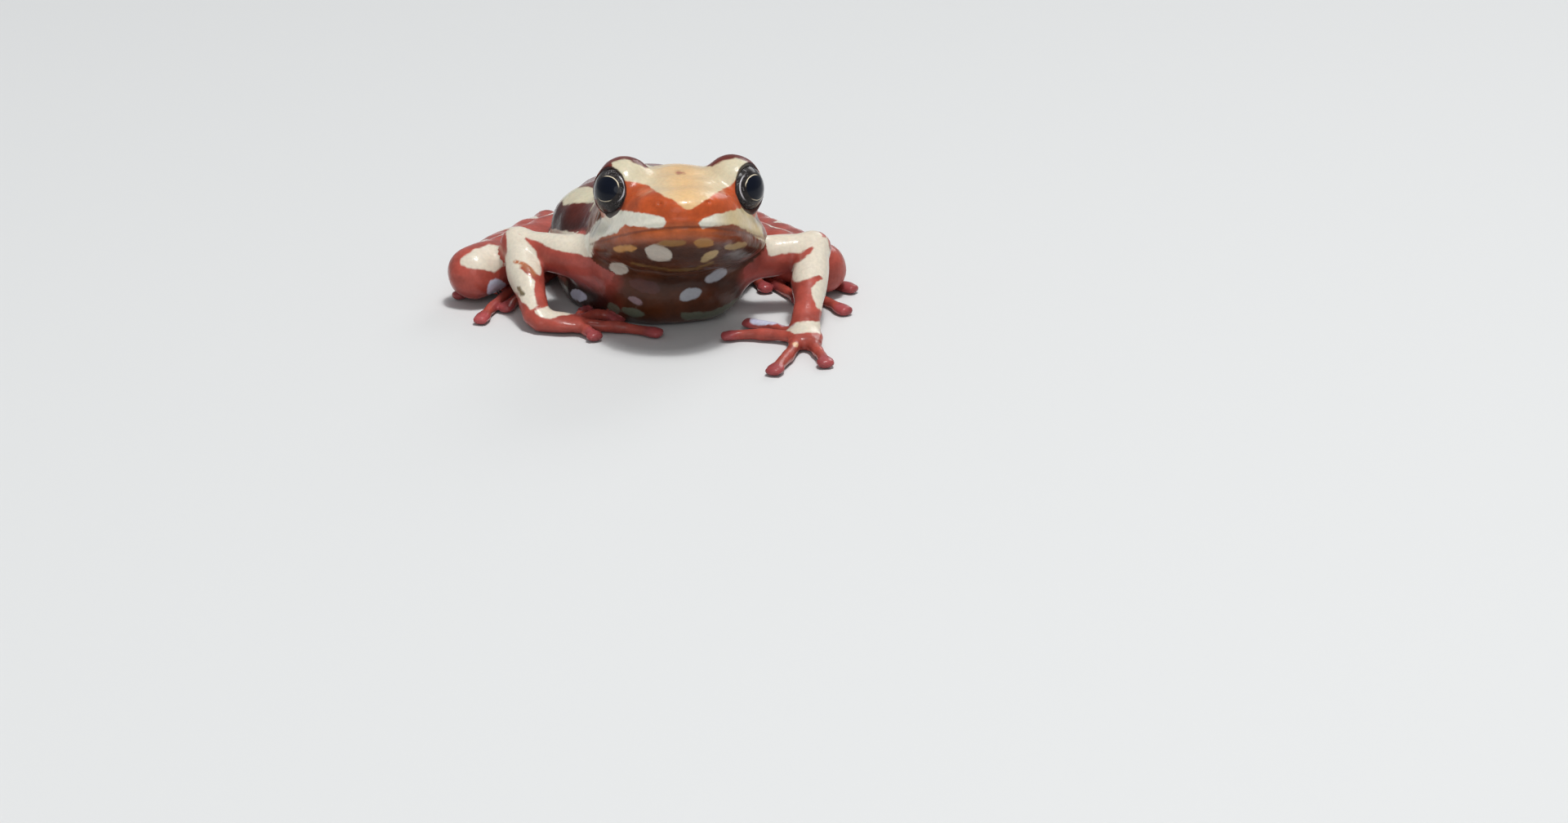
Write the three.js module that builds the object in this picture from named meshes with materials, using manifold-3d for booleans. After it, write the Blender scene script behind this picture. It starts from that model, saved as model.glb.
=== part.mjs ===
// A phantasmal poison frog, life size, sitting still with its head raised.
// Millimetres, +Z up. The frog faces -Y, its own left side is +X, and it rests on z = 0.
import * as THREE from 'three';
import { mergeVertices } from 'three/addons/utils/BufferGeometryUtils.js';
import Module from 'manifold-3d';

const wasm = await Module();
wasm.setup();

// Driving dimensions
const HEAD_TURN = THREE.MathUtils.degToRad(-8.5); // the head looks a little to the frog's right
const HEAD_PITCH = THREE.MathUtils.degToRad(19); // the snout is lifted
const EYE_MIDDLE = [-0.6, 0, 6.7]; // halfway between the two eyes
const EYE_RADIUS = 1.22;
const EYE_PLACE = [2.56, -0.14, -0.03]; // in the head's own axes, on its left
const SOCKET_GAP = 0.08;
const PART_GAP = 0.16; // the thin cut between two neighbouring parts
const HEAD_CELL = 0.68; // facet size of the head
const TRUNK_CELL = 0.86; // facet size of the trunk
const CORE_BLEND = 0.9; // how softly the masses of the body run together
const CORE_LOW = [-8, -7, -3]; // a box well clear of the head and the trunk on every side
const CORE_HIGH = [8, 19, 10];
const CUTTER = 60; // larger than the whole animal

// How finely the round forms are divided
const LIMB_MESH = { sides: 10, rings: 7, capRings: 2 };
const TARSUS_MESH = { ...LIMB_MESH, rings: 6 };
const PALM_MESH = { ...LIMB_MESH, rings: 4 };
const DIGIT_MESH = { sides: 6, rings: 5, capRings: 1 };
const BALL_MESH = [16, 10];

// Masses of the head in its own axes: left, back, up. Row: centre, radii, squareness.
const HEAD_MASSES = [
  [[0, 1.4, -1.15], [3.25, 3.6, 2.3], 2.2], // skull
  [[0, 1.75, -2.2], [3.95, 3.9, 1.3], 2.4], // jaws
  [[0, -1.2, -0.95], [2.5, 2.75, 1.1], 2.4], // snout
  [[0, -0.75, -1.9], [2.75, 2.95, 0.85], 2.2], // lower jaw
  [[0, 3.6, -1.2], [3.5, 3.4, 2.1], 2.2], // neck
];
const LID_PLACE = [2.3, 0.2, 0.15]; // the bulge of the upper lid over each eye
const LID_RADII = [1.2, 1.3, 1.35];

// Masses of the trunk in the frog's axes, on the floor.
const TRUNK_MASSES = [
  [[-0.4, 2.2, 1.5], [3.05, 2.12, 1.65], 2.6], // breast
  [[-1.0, 5.2, 0.9], [3.7, 3.5, 1.6], 2.6], // slack of the belly, on its right
  [[-0.4, 3.9, 2.9], [3.6, 3.6, 3.0], 2.4], // shoulders
  [[-0.3, 6.9, 2.3], [4.75, 4.4, 2.75], 3], // belly and flanks
  [[0.1, 7.2, 2.9], [2.5, 5.4, 2.2], 2.2], // back muscles
  [[0, 10.2, 2.0], [3.8, 4.0, 2.3], 2.5], // loins and hump of the pelvis
  [[0, 12.75, 1.85], [2.9, 2.85, 1.5], 2.5], // rump
];

// Where the head is parted from the trunk, in the head's axes: a slanted plane.
const NECK_POINT = [0, 3.6, 0.9];
const NECK_SLOPE = THREE.MathUtils.degToRad(30.6);

// Limb profiles. Row: share of the length, half width, half height.
const UPPER_ARM = [[0, 1.0, 1.05], [0.45, 0.88, 0.95], [1, 0.72, 0.76]];
const FOREARM = [[0, 0.72, 0.76], [0.4, 0.8, 0.8], [0.8, 0.62, 0.58], [1, 0.62, 0.5]];
const PALM = [[0, 0.62, 0.46], [0.6, 0.8, 0.4], [1, 0.75, 0.34]];
const FINGER = [[0, 0.3, 0.28], [0.5, 0.25, 0.26], [0.8, 0.26, 0.26], [0.92, 0.38, 0.25], [1, 0.36, 0.24]];
const THIGH = [[0, 1.3, 1.05], [0.35, 1.42, 1.0], [0.75, 1.25, 1.06], [1, 1.22, 1.22]];
const SHANK = [[0, 1.0, 1.0], [0.3, 1.1, 1.0], [0.7, 0.86, 0.8], [1, 0.64, 0.62]];
const TARSUS = [[0, 0.62, 0.6], [0.5, 0.52, 0.46], [1, 0.62, 0.42]];
const SOLE = [[0, 0.6, 0.4], [0.5, 0.72, 0.36], [1, 0.66, 0.3]];
const TOE = [[0, 0.28, 0.27], [0.5, 0.25, 0.26], [0.85, 0.25, 0.26], [0.94, 0.36, 0.25], [1, 0.34, 0.24]];

// Joints of each limb, and the middle points of each digit from its root to its tip.
const LIMBS = {
  right: {
    arm: { shoulder: [-3.0, 2.3, 2.6], elbow: [-6.85, 5.7, 2.8], wrist: [-6.75, 1.9, 0.72] },
    palm: [[-6.6, 1.6, 0.5], [-5.0, 1.15, 0.38]],
    fingers: [
      [[-5.0, 1.6, 0.34], [-4.6, 2.5, 0.3], [-4.2, 3.3, 0.24]],
      [[-4.9, 1.5, 0.36], [-3.75, 2.0, 0.42], [-3.05, 1.5, 0.24]],
      [[-4.8, 1.05, 0.36], [-3.2, 0.45, 0.3], [-1.7, -0.55, 0.24]],
      [[-5.0, 0.9, 0.36], [-4.75, 0.25, 0.32], [-4.55, -0.4, 0.24]],
    ],
    leg: { hip: [-1.5, 12.9, 1.6], knee: [-8.8, 6.2, 1.5], heel: [-3.8, 14.9, 0.75] },
    ankle: [-4.2, 10.3, 0.42],
    sole: [[-4.3, 9.9, 0.36], [-5.5, 8.5, 0.32]],
    toes: [
      [[-5.1, 9.0, 0.28], [-5.3, 8.3, 0.26], [-5.7, 7.5, 0.24]],
      [[-5.3, 8.9, 0.28], [-5.7, 7.4, 0.26], [-6.3, 6.0, 0.24]],
      [[-5.5, 8.8, 0.28], [-6.5, 6.6, 0.26], [-7.7, 4.4, 0.24]],
      [[-5.7, 8.8, 0.28], [-7.4, 6.2, 0.26], [-9.1, 3.1, 0.24]],
      [[-5.9, 9.0, 0.28], [-7.7, 8.0, 0.25], [-9.5, 6.8, 0.24]],
    ],
  },
  left: {
    arm: { shoulder: [2.2, 2.3, 2.35], elbow: [6.0, 1.95, 2.85], wrist: [4.65, -2.3, 0.75] },
    palm: [[4.6, -2.5, 0.52], [4.25, -3.7, 0.38]],
    fingers: [
      [[4.1, -2.6, 0.36], [3.3, -1.1, 0.32], [2.5, 0.0, 0.24]],
      [[4.05, -2.9, 0.36], [2.6, -2.0, 0.34], [1.1, -1.6, 0.24]],
      [[4.0, -3.5, 0.36], [3.1, -5.2, 0.3], [2.1, -6.8, 0.24]],
      [[4.5, -3.6, 0.36], [4.6, -5.0, 0.3], [4.6, -6.3, 0.24]],
    ],
    leg: { hip: [1.5, 12.8, 1.6], knee: [6.75, 3.8, 1.32], heel: [4.9, 14.4, 0.85] },
    ankle: [4.0, 10.0, 0.44],
    sole: [[4.0, 9.6, 0.36], [4.6, 7.7, 0.32]],
    toes: [
      [[4.3, 8.1, 0.28], [4.0, 7.1, 0.26], [3.9, 6.2, 0.24]],
      [[4.4, 7.8, 0.28], [4.3, 6.0, 0.26], [4.4, 4.5, 0.24]],
      [[4.6, 7.6, 0.28], [5.0, 5.1, 0.26], [5.6, 2.4, 0.24]],
      [[4.8, 7.6, 0.28], [5.9, 4.3, 0.26], [7.2, 0.6, 0.24]],
      [[5.0, 7.8, 0.28], [6.5, 5.8, 0.25], [8.3, 3.6, 0.24]],
    ],
  },
};

// Looks: one material for each kind of surface.
const SKIN_RED = { color: 0xa8482e, roughness: 0.32, metalness: 0 };
const SKIN_DARK = { color: 0x5a2a20, roughness: 0.32, metalness: 0 };
const EYE_BLACK = { color: 0x0b0b0e, roughness: 0.05, metalness: 0 };

// The head's axes seen in the frog's axes.
const headFrame = new THREE.Matrix4().makeTranslation(...EYE_MIDDLE)
  .multiply(new THREE.Matrix4().makeRotationZ(HEAD_TURN))
  .multiply(new THREE.Matrix4().makeRotationX(-HEAD_PITCH));
const headInverse = headFrame.clone().invert();

// A rounded mass as a distance that is zero on its surface and negative inside.
const NOT_ZERO = 1e-9;

function massDistance([centre, radii, squareness], point) {
  const x = Math.abs(point.x - centre[0]) / radii[0];
  const y = (point.y - centre[1]) / radii[1];
  const z = Math.abs(point.z - centre[2]) / radii[2];
  const girth = x ** squareness + z ** squareness + NOT_ZERO;
  const reach = Math.sqrt(girth ** (2 / squareness) + y * y);
  const share = girth ** (2 / squareness - 1);
  const steep = Math.hypot(
    (share * x ** (squareness - 1)) / radii[0],
    y / radii[1],
    (share * z ** (squareness - 1)) / radii[2],
  ) / reach;
  return (reach - 1) / steep;
}

// Two distances joined with a soft fold of the given size.
function softJoin(one, other, blend) {
  const overlap = Math.max(blend - Math.abs(one - other), 0) / blend;
  return Math.min(one, other) - overlap * overlap * blend * 0.25;
}

function coreDistance(point) {
  const inHead = point.clone().applyMatrix4(headInverse);
  const headPart = HEAD_MASSES.map(mass => massDistance(mass, inHead))
    .reduce((one, other) => softJoin(one, other, CORE_BLEND));
  const trunkPart = TRUNK_MASSES.map(mass => massDistance(mass, point))
    .reduce((one, other) => softJoin(one, other, CORE_BLEND));
  return softJoin(headPart, trunkPart, CORE_BLEND);
}

// A corner moved down or up the slope of the distance until it lies on the surface, but
// never further than a share of its cell.
const SLOPE_STEP = 0.01;
const SLOPE_ROUNDS = 3;
const FURTHEST_SHARE = 0.4;

function ontoSurface(distance, corner, level, cell) {
  const moved = corner.clone();
  for (let round = 0; round < SLOPE_ROUNDS; round++) {
    const here = distance(moved) - level;
    const slope = new THREE.Vector3(...['x', 'y', 'z'].map(axis => {
      const beside = moved.clone();
      beside[axis] += SLOPE_STEP;
      return (distance(beside) - level - here) / SLOPE_STEP;
    }));
    moved.addScaledVector(slope, -here / slope.lengthSq());
  }
  return moved.sub(corner).clampLength(0, FURTHEST_SHARE * cell).add(corner);
}

// A closed mesh round the places where a distance is below a level: one corner in each
// cell that the surface crosses, and one quad across each grid edge that it crosses.
function meshOfField(distance, low, high, cell, level) {
  const counts = [0, 1, 2].map(axis => Math.ceil((high[axis] - low[axis]) / cell) + 1);
  const strides = [1, counts[0], counts[0] * counts[1]];
  const values = new Float64Array(counts[0] * counts[1] * counts[2]);
  const point = new THREE.Vector3();
  const place = (i, j, k) => point.set(low[0] + i * cell, low[1] + j * cell, low[2] + k * cell);
  for (let k = 0; k < counts[2]; k++) {
    for (let j = 0; j < counts[1]; j++) {
      for (let i = 0; i < counts[0]; i++) {
        values[i + j * strides[1] + k * strides[2]] = distance(place(i, j, k)) - level;
      }
    }
  }
  const positions = [];
  const cornerOf = new Map();
  const cornerFor = (i, j, k) => {
    const key = i + j * strides[1] + k * strides[2];
    if (cornerOf.has(key)) return cornerOf.get(key);
    const sum = [0, 0, 0];
    let crossings = 0;
    for (let axis = 0; axis < 3; axis++) {
      const others = [0, 1, 2].filter(other => other !== axis);
      for (let side = 0; side < 4; side++) {
        const start = [0, 0, 0];
        start[others[0]] = side & 1;
        start[others[1]] = side >> 1;
        const at = key + start[0] + start[1] * strides[1] + start[2] * strides[2];
        const here = values[at];
        const there = values[at + strides[axis]];
        if (here < 0 === there < 0) continue;
        start[axis] = here / (here - there);
        start.forEach((value, index) => { sum[index] += value; });
        crossings++;
      }
    }
    const middle = sum.map(total => total / crossings);
    const corner = [i, j, k].map((value, axis) => low[axis] + (value + middle[axis]) * cell);
    const moved = ontoSurface(distance, new THREE.Vector3(...corner), level, cell);
    positions.push(...moved.toArray());
    cornerOf.set(key, positions.length / 3 - 1);
    return cornerOf.get(key);
  };
  const faces = [];
  for (let k = 1; k < counts[2] - 1; k++) {
    for (let j = 1; j < counts[1] - 1; j++) {
      for (let i = 1; i < counts[0] - 1; i++) {
        const at = i + j * strides[1] + k * strides[2];
        for (let axis = 0; axis < 3; axis++) {
          const inside = values[at] < 0;
          if (inside === values[at + strides[axis]] < 0) continue;
          const [u, v] = [(axis + 1) % 3, (axis + 2) % 3];
          const around = [[0, 0], [-1, 0], [-1, -1], [0, -1]].map(([du, dv]) => {
            const cellAt = [i, j, k];
            cellAt[u] += du;
            cellAt[v] += dv;
            return cornerFor(...cellAt);
          });
          const [a, b, c, d] = inside ? around : around.reverse();
          faces.push(a, b, c, a, c, d);
        }
      }
    }
  }
  const geometry = new THREE.BufferGeometry();
  geometry.setAttribute('position', new THREE.Float32BufferAttribute(positions, 3));
  geometry.setIndex(faces);
  return geometry;
}

// The half width and half height of a limb at a share of its length
function profileAt(profile, share) {
  const next = Math.max(1, profile.findIndex(row => row[0] >= share));
  const [before, after] = [profile[next - 1], profile[next]];
  const mix = THREE.MathUtils.smoothstep(share, before[0], after[0]);
  return [1, 2].map(column => THREE.MathUtils.lerp(before[column], after[column], mix));
}

// A limb: rings of the given profile round a smooth line through the points, with round ends.
function limbGeometry(points, profile, { sides, rings, capRings }, grow) {
  const places = points.map(point => new THREE.Vector3(...point));
  const line = new THREE.CatmullRomCurve3(places, false, 'centripetal');
  const up = new THREE.Vector3(0, 0, 1);
  const stations = [];
  const addStation = (share, beyond, scale) => {
    const [halfWidth, halfHeight] = profileAt(profile, share).map(half => half + grow);
    const along = line.getTangentAt(share);
    const across = new THREE.Vector3().crossVectors(along, up).normalize();
    const over = new THREE.Vector3().crossVectors(across, along);
    const reach = beyond * Math.min(halfWidth, halfHeight);
    stations.push({
      centre: line.getPointAt(share).addScaledVector(along, reach),
      across: across.multiplyScalar(halfWidth * scale),
      over: over.multiplyScalar(halfHeight * scale),
    });
  };
  const capAngle = ring => ((capRings - ring) / (capRings + 1)) * (Math.PI / 2);
  const capAngles = Array.from({ length: capRings }, (_, ring) => capAngle(ring));
  capAngles.forEach(angle => addStation(0, -Math.sin(angle), Math.cos(angle)));
  for (let ring = 0; ring < rings; ring++) addStation(ring / (rings - 1), 0, 1);
  capAngles.reverse().forEach(angle => addStation(1, Math.sin(angle), Math.cos(angle)));
  const positions = [];
  const faces = [];
  stations.forEach(({ centre, across, over }) => {
    for (let side = 0; side < sides; side++) {
      const angle = (side / sides) * 2 * Math.PI;
      const corner = centre.clone().addScaledVector(across, Math.cos(angle));
      corner.addScaledVector(over, Math.sin(angle));
      positions.push(...corner.toArray());
    }
  });
  for (let ring = 0; ring < stations.length - 1; ring++) {
    for (let side = 0; side < sides; side++) {
      const [a, b] = [ring * sides + side, ring * sides + ((side + 1) % sides)];
      faces.push(a, a + sides, b, b, a + sides, b + sides);
    }
  }
  [[0, -1], [stations.length - 1, 1]].forEach(([ring, way]) => {
    const share = way < 0 ? 0 : 1;
    const reach = Math.min(...profileAt(profile, share)) + grow;
    const tip = line.getPointAt(share).addScaledVector(line.getTangentAt(share), way * reach);
    positions.push(...tip.toArray());
    const tipIndex = positions.length / 3 - 1;
    for (let side = 0; side < sides; side++) {
      const [a, b] = [ring * sides + side, ring * sides + ((side + 1) % sides)];
      faces.push(...(way < 0 ? [tipIndex, a, b] : [tipIndex, b, a]));
    }
  });
  const geometry = new THREE.BufferGeometry();
  geometry.setAttribute('position', new THREE.Float32BufferAttribute(positions, 3));
  geometry.setIndex(faces);
  return geometry;
}

// Joining and cutting closed meshes
const SAME_CORNER = 1e-5;

function solidOf(geometry) {
  const plain = geometry.clone();
  plain.deleteAttribute('normal');
  plain.deleteAttribute('uv');
  const merged = mergeVertices(plain, SAME_CORNER);
  return new wasm.Manifold(new wasm.Mesh({
    numProp: 3,
    vertProperties: new Float32Array(merged.attributes.position.array),
    triVerts: new Uint32Array(merged.index.array),
  }));
}

// Only the largest piece is kept, so a cut leaves no crumbs.
function largestPiece(solid) {
  return solid.decompose().reduce((best, piece) => (piece.volume() > best.volume() ? piece : best));
}

function geometryOf(solid) {
  const mesh = solid.getMesh();
  const geometry = new THREE.BufferGeometry();
  geometry.setAttribute('position', new THREE.Float32BufferAttribute(mesh.vertProperties, 3));
  geometry.setIndex(Array.from(mesh.triVerts));
  geometry.computeVertexNormals();
  return geometry;
}

function cutAll(solid, cutters) {
  return cutters.reduce((left, cutter) => left.subtract(cutter), solid);
}

function limbSolid(points, profile, mesh = LIMB_MESH) {
  return solidOf(limbGeometry(points, profile, mesh, 0));
}

// What a limb needs clear of its neighbours
function limbClearance(points, profile) {
  return solidOf(limbGeometry(points, profile, LIMB_MESH, PART_GAP));
}

const cutterBlock = () => new THREE.BoxGeometry(CUTTER, CUTTER, CUTTER);

// A block that reaches up to the floor, to give everything its small flats at z = 0
const underFloor = solidOf(cutterBlock().translate(0, 0, -CUTTER / 2));

// Head and trunk
function coreFor(cell, level) {
  return solidOf(meshOfField(coreDistance, CORE_LOW, CORE_HIGH, cell, level));
}

const coreClearance = coreFor(TRUNK_CELL, PART_GAP);

// A round form on one side of the head, placed in the head's own axes
function headBall(side, [left, back, up], radii) {
  return new THREE.SphereGeometry(1, ...BALL_MESH)
    .scale(...radii)
    .translate(side * left, back, up)
    .applyMatrix4(headFrame);
}

const eyeBall = (side, radius) => headBall(side, EYE_PLACE, [radius, radius, radius]);

// A block behind the slanted neck plane, moved back from it by a distance.
function behindNeck(distance) {
  return solidOf(cutterBlock()
    .translate(0, CUTTER / 2 + distance, 0)
    .rotateX(-NECK_SLOPE)
    .translate(...NECK_POINT)
    .applyMatrix4(headFrame));
}

const SIDES = [1, -1];
const lids = SIDES.map(side => solidOf(headBall(side, LID_PLACE, LID_RADII)));
const sockets = SIDES.map(side => solidOf(eyeBall(side, EYE_RADIUS + SOCKET_GAP)));
const headWithLids = lids.reduce((sum, lid) => sum.add(lid), coreFor(HEAD_CELL, 0));
const headSolid = cutAll(headWithLids, [behindNeck(-PART_GAP / 2), ...sockets]);
const trunkSolid = coreFor(TRUNK_CELL, 0).intersect(behindNeck(PART_GAP / 2));

const frog = new THREE.Group();

function addPart(name, solid, look) {
  const geometry = geometryOf(largestPiece(solid.subtract(underFloor)));
  const mesh = new THREE.Mesh(geometry, new THREE.MeshStandardMaterial(look));
  mesh.name = name;
  frog.add(mesh);
}

addPart('head', headSolid, SKIN_RED);
addPart('trunk', trunkSolid, SKIN_DARK);
addPart('eye_left', solidOf(eyeBall(1, EYE_RADIUS)), EYE_BLACK);
addPart('eye_right', solidOf(eyeBall(-1, EYE_RADIUS)), EYE_BLACK);

// A palm or a sole with its digits
function spreadSolid(root, rootProfile, digits, digitProfile) {
  const base = limbSolid(root, rootProfile, PALM_MESH);
  const solids = digits.map(points => limbSolid(points, digitProfile, DIGIT_MESH));
  return solids.reduce((sum, digit) => sum.add(digit), base);
}

function addArm(side, { arm, palm, fingers }) {
  const upper = [arm.shoulder, arm.elbow];
  const lower = [arm.elbow, arm.wrist];
  const upperClearance = limbClearance(upper, UPPER_ARM);
  const lowerClearance = limbClearance(lower, FOREARM);
  const forearm = cutAll(limbSolid(lower, FOREARM), [upperClearance, coreClearance]);
  const hand = cutAll(spreadSolid(palm, PALM, fingers, FINGER), [lowerClearance, coreClearance]);
  addPart(`upper_arm_${side}`, limbSolid(upper, UPPER_ARM).subtract(coreClearance), SKIN_RED);
  addPart(`forearm_${side}`, forearm, SKIN_RED);
  addPart(`hand_${side}`, hand, SKIN_RED);
}

function addLeg(side, { leg, ankle, sole, toes }) {
  const thigh = [leg.hip, leg.knee];
  const shank = [leg.knee, leg.heel];
  const tarsus = [leg.heel, ankle];
  const thighAndCore = [limbClearance(thigh, THIGH), coreClearance];
  const shankAndAbove = [limbClearance(shank, SHANK), ...thighAndCore];
  const tarsusAndAbove = [limbClearance(tarsus, TARSUS), ...shankAndAbove];
  const foot = spreadSolid(sole, SOLE, toes, TOE);
  addPart(`thigh_${side}`, limbSolid(thigh, THIGH).subtract(coreClearance), SKIN_RED);
  addPart(`shank_${side}`, cutAll(limbSolid(shank, SHANK), thighAndCore), SKIN_RED);
  addPart(`tarsus_${side}`, cutAll(limbSolid(tarsus, TARSUS, TARSUS_MESH), shankAndAbove), SKIN_RED);
  addPart(`foot_${side}`, cutAll(foot, tarsusAndAbove), SKIN_RED);
}

Object.entries(LIMBS).forEach(([side, limbs]) => {
  addArm(side, limbs);
  addLeg(side, limbs);
});

// The origin is under the middle of the whole frog.
const bounds = new THREE.Box3().setFromObject(frog);
const middle = bounds.getCenter(new THREE.Vector3());
frog.position.set(-middle.x, -middle.y, 0);
frog.updateMatrixWorld(true);

export default frog;
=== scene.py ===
"""A phantasmal poison frog at life size, sitting still with its head raised."""
import math

import bpy
import numpy as np
from mathutils import Matrix, Vector


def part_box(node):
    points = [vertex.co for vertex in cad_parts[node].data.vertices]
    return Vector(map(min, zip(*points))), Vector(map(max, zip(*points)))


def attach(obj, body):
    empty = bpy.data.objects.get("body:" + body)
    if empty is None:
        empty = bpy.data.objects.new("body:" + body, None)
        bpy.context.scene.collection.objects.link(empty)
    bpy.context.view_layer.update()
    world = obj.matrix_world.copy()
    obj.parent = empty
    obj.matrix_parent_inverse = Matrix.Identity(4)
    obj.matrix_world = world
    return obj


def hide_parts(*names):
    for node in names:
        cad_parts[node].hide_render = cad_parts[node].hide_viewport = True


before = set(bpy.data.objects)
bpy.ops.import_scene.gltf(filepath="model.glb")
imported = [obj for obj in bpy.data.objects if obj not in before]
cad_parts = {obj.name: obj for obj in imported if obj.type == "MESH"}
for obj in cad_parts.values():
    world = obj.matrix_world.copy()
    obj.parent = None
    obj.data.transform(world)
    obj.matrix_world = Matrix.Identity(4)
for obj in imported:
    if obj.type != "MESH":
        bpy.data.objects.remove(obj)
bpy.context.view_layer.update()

# Lengths are in millimetres, in the frog's own axes: left +X, back +Y, up +Z. Placed by the eyes.
METRES = 0.001
HEAD_TURN = math.radians(-8.5)
HEAD_PITCH = math.radians(19)
EYE_MIDDLE = np.array([-0.6, 0.0, 6.7])
EYE_RADIUS = 1.22
EYE_PLACE = (2.56, -0.14, -0.03)

# The camera: its direction and distance from the point between the eyes, and that point's pixel
CAMERA_AZIMUTH = math.radians(-12)
CAMERA_ELEVATION = math.radians(17)
CAMERA_DISTANCE = 220.0
PIXEL = 0.0362
FRAME_SIZE = (1920, 1008)
SENSOR_WIDTH = 36.0
EYE_MIDDLE_PIXEL = (833, 231)

# Masses of flesh. Row: centre, radii, squareness. The head's are in the head's axes: left, back, up.
HEAD_MASSES = [
    ((0, 1.4, -1.15), (3.25, 3.6, 2.3), 2.2),
    ((0, 1.75, -2.2), (3.95, 3.9, 1.3), 2.4),
    ((0, -1.2, -0.95), (2.5, 2.75, 1.1), 2.4),
    ((0, -0.75, -1.9), (2.75, 2.95, 0.85), 2.2),
    ((0, 3.6, -1.2), (3.5, 3.4, 2.1), 2.2),
]
TRUNK_MASSES = [
    ((-0.4, 2.2, 1.5), (3.05, 2.12, 1.65), 2.6),
    ((-1.0, 5.2, 0.9), (3.7, 3.5, 1.6), 2.6),
    ((-0.4, 3.9, 2.9), (3.6, 3.6, 3.0), 2.4),
    ((-0.3, 6.9, 2.3), (4.75, 4.4, 2.75), 3),
    ((0.1, 7.2, 2.9), (2.5, 5.4, 2.2), 2.2),
    ((0, 10.2, 2.0), (3.8, 4.0, 2.3), 2.5),
    ((0, 12.75, 1.85), (2.9, 2.85, 1.5), 2.5),
]
LID_PLACE = (2.3, 0.2, 0.15)
LID_RADII = (1.2, 1.3, 1.35)
RIM_THICKNESS = 0.13
OUTER_RIM_THICKNESS = 0.03
NECK_POINT = (0, 3.6, 0.9)
NECK_SLOPE = math.radians(30.6)

# How softly neighbouring forms run together
CORE_BLEND = 0.9
LID_BLEND = 0.45
SHOULDER_BLEND = 0.8
HIP_BLEND = 0.6
JOINT_BLEND = 0.35
DIGIT_BLEND = 0.22
CREASE_BLEND = 0.08
FLOOR_BLEND = 0.1

# The opening of the lids: a cone round the way the eye looks
GAZE = {"right": (math.radians(38.5), math.radians(5)), "left": (math.radians(46), 0)}
OPENING_SIDEWAYS = math.radians(48)
OPENING_HALF_ANGLE = math.radians(52.5)
SOCKET_DEPTH = 0.12
RIM_BLEND = 0.07
RIM_REACH = 0.22

# Features of the face, in the head's axes
MOUTH_HEIGHT = -1.78
MOUTH_CURVE = 0.034
MOUTH_CORNER = (2.9, 0.2, -2.35)
NOSTRIL_ASIDE = 1.05
NOSTRIL_HEIGHT = -0.72
NOSTRIL_STRETCH = 1.25
EARDRUM_BACK = 1.9
EARDRUM_HEIGHT = -1.05
EARDRUM_RADIUS = 0.42

# Limb profiles. Row: share of the length, half width, half height.
PROFILES = {
    "upper_arm": [(0, 1.0, 1.05), (0.45, 0.88, 0.95), (1, 0.72, 0.76)],
    "forearm": [(0, 0.72, 0.76), (0.4, 0.8, 0.8), (0.8, 0.62, 0.58), (1, 0.62, 0.5)],
    "palm": [(0, 0.62, 0.46), (0.6, 0.8, 0.4), (1, 0.75, 0.34)],
    "finger": [
        (0, 0.29, 0.27), (0.3, 0.24, 0.25), (0.46, 0.27, 0.28), (0.6, 0.23, 0.24),
        (0.78, 0.24, 0.23), (0.92, 0.39, 0.22), (1, 0.37, 0.19),
    ],
    "thigh": [(0, 1.3, 1.05), (0.35, 1.42, 1.0), (0.75, 1.25, 1.06), (1, 1.22, 1.22)],
    "shank": [(0, 1.0, 1.0), (0.3, 1.1, 1.0), (0.7, 0.86, 0.8), (1, 0.64, 0.62)],
    "tarsus": [(0, 0.62, 0.6), (0.5, 0.52, 0.46), (1, 0.62, 0.42)],
    "sole": [(0, 0.6, 0.4), (0.5, 0.72, 0.36), (1, 0.66, 0.3)],
    "toe": [
        (0, 0.28, 0.27), (0.4, 0.24, 0.25), (0.52, 0.26, 0.27), (0.65, 0.23, 0.24),
        (0.84, 0.23, 0.23), (0.94, 0.35, 0.23), (1, 0.33, 0.2),
    ],
}
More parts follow.
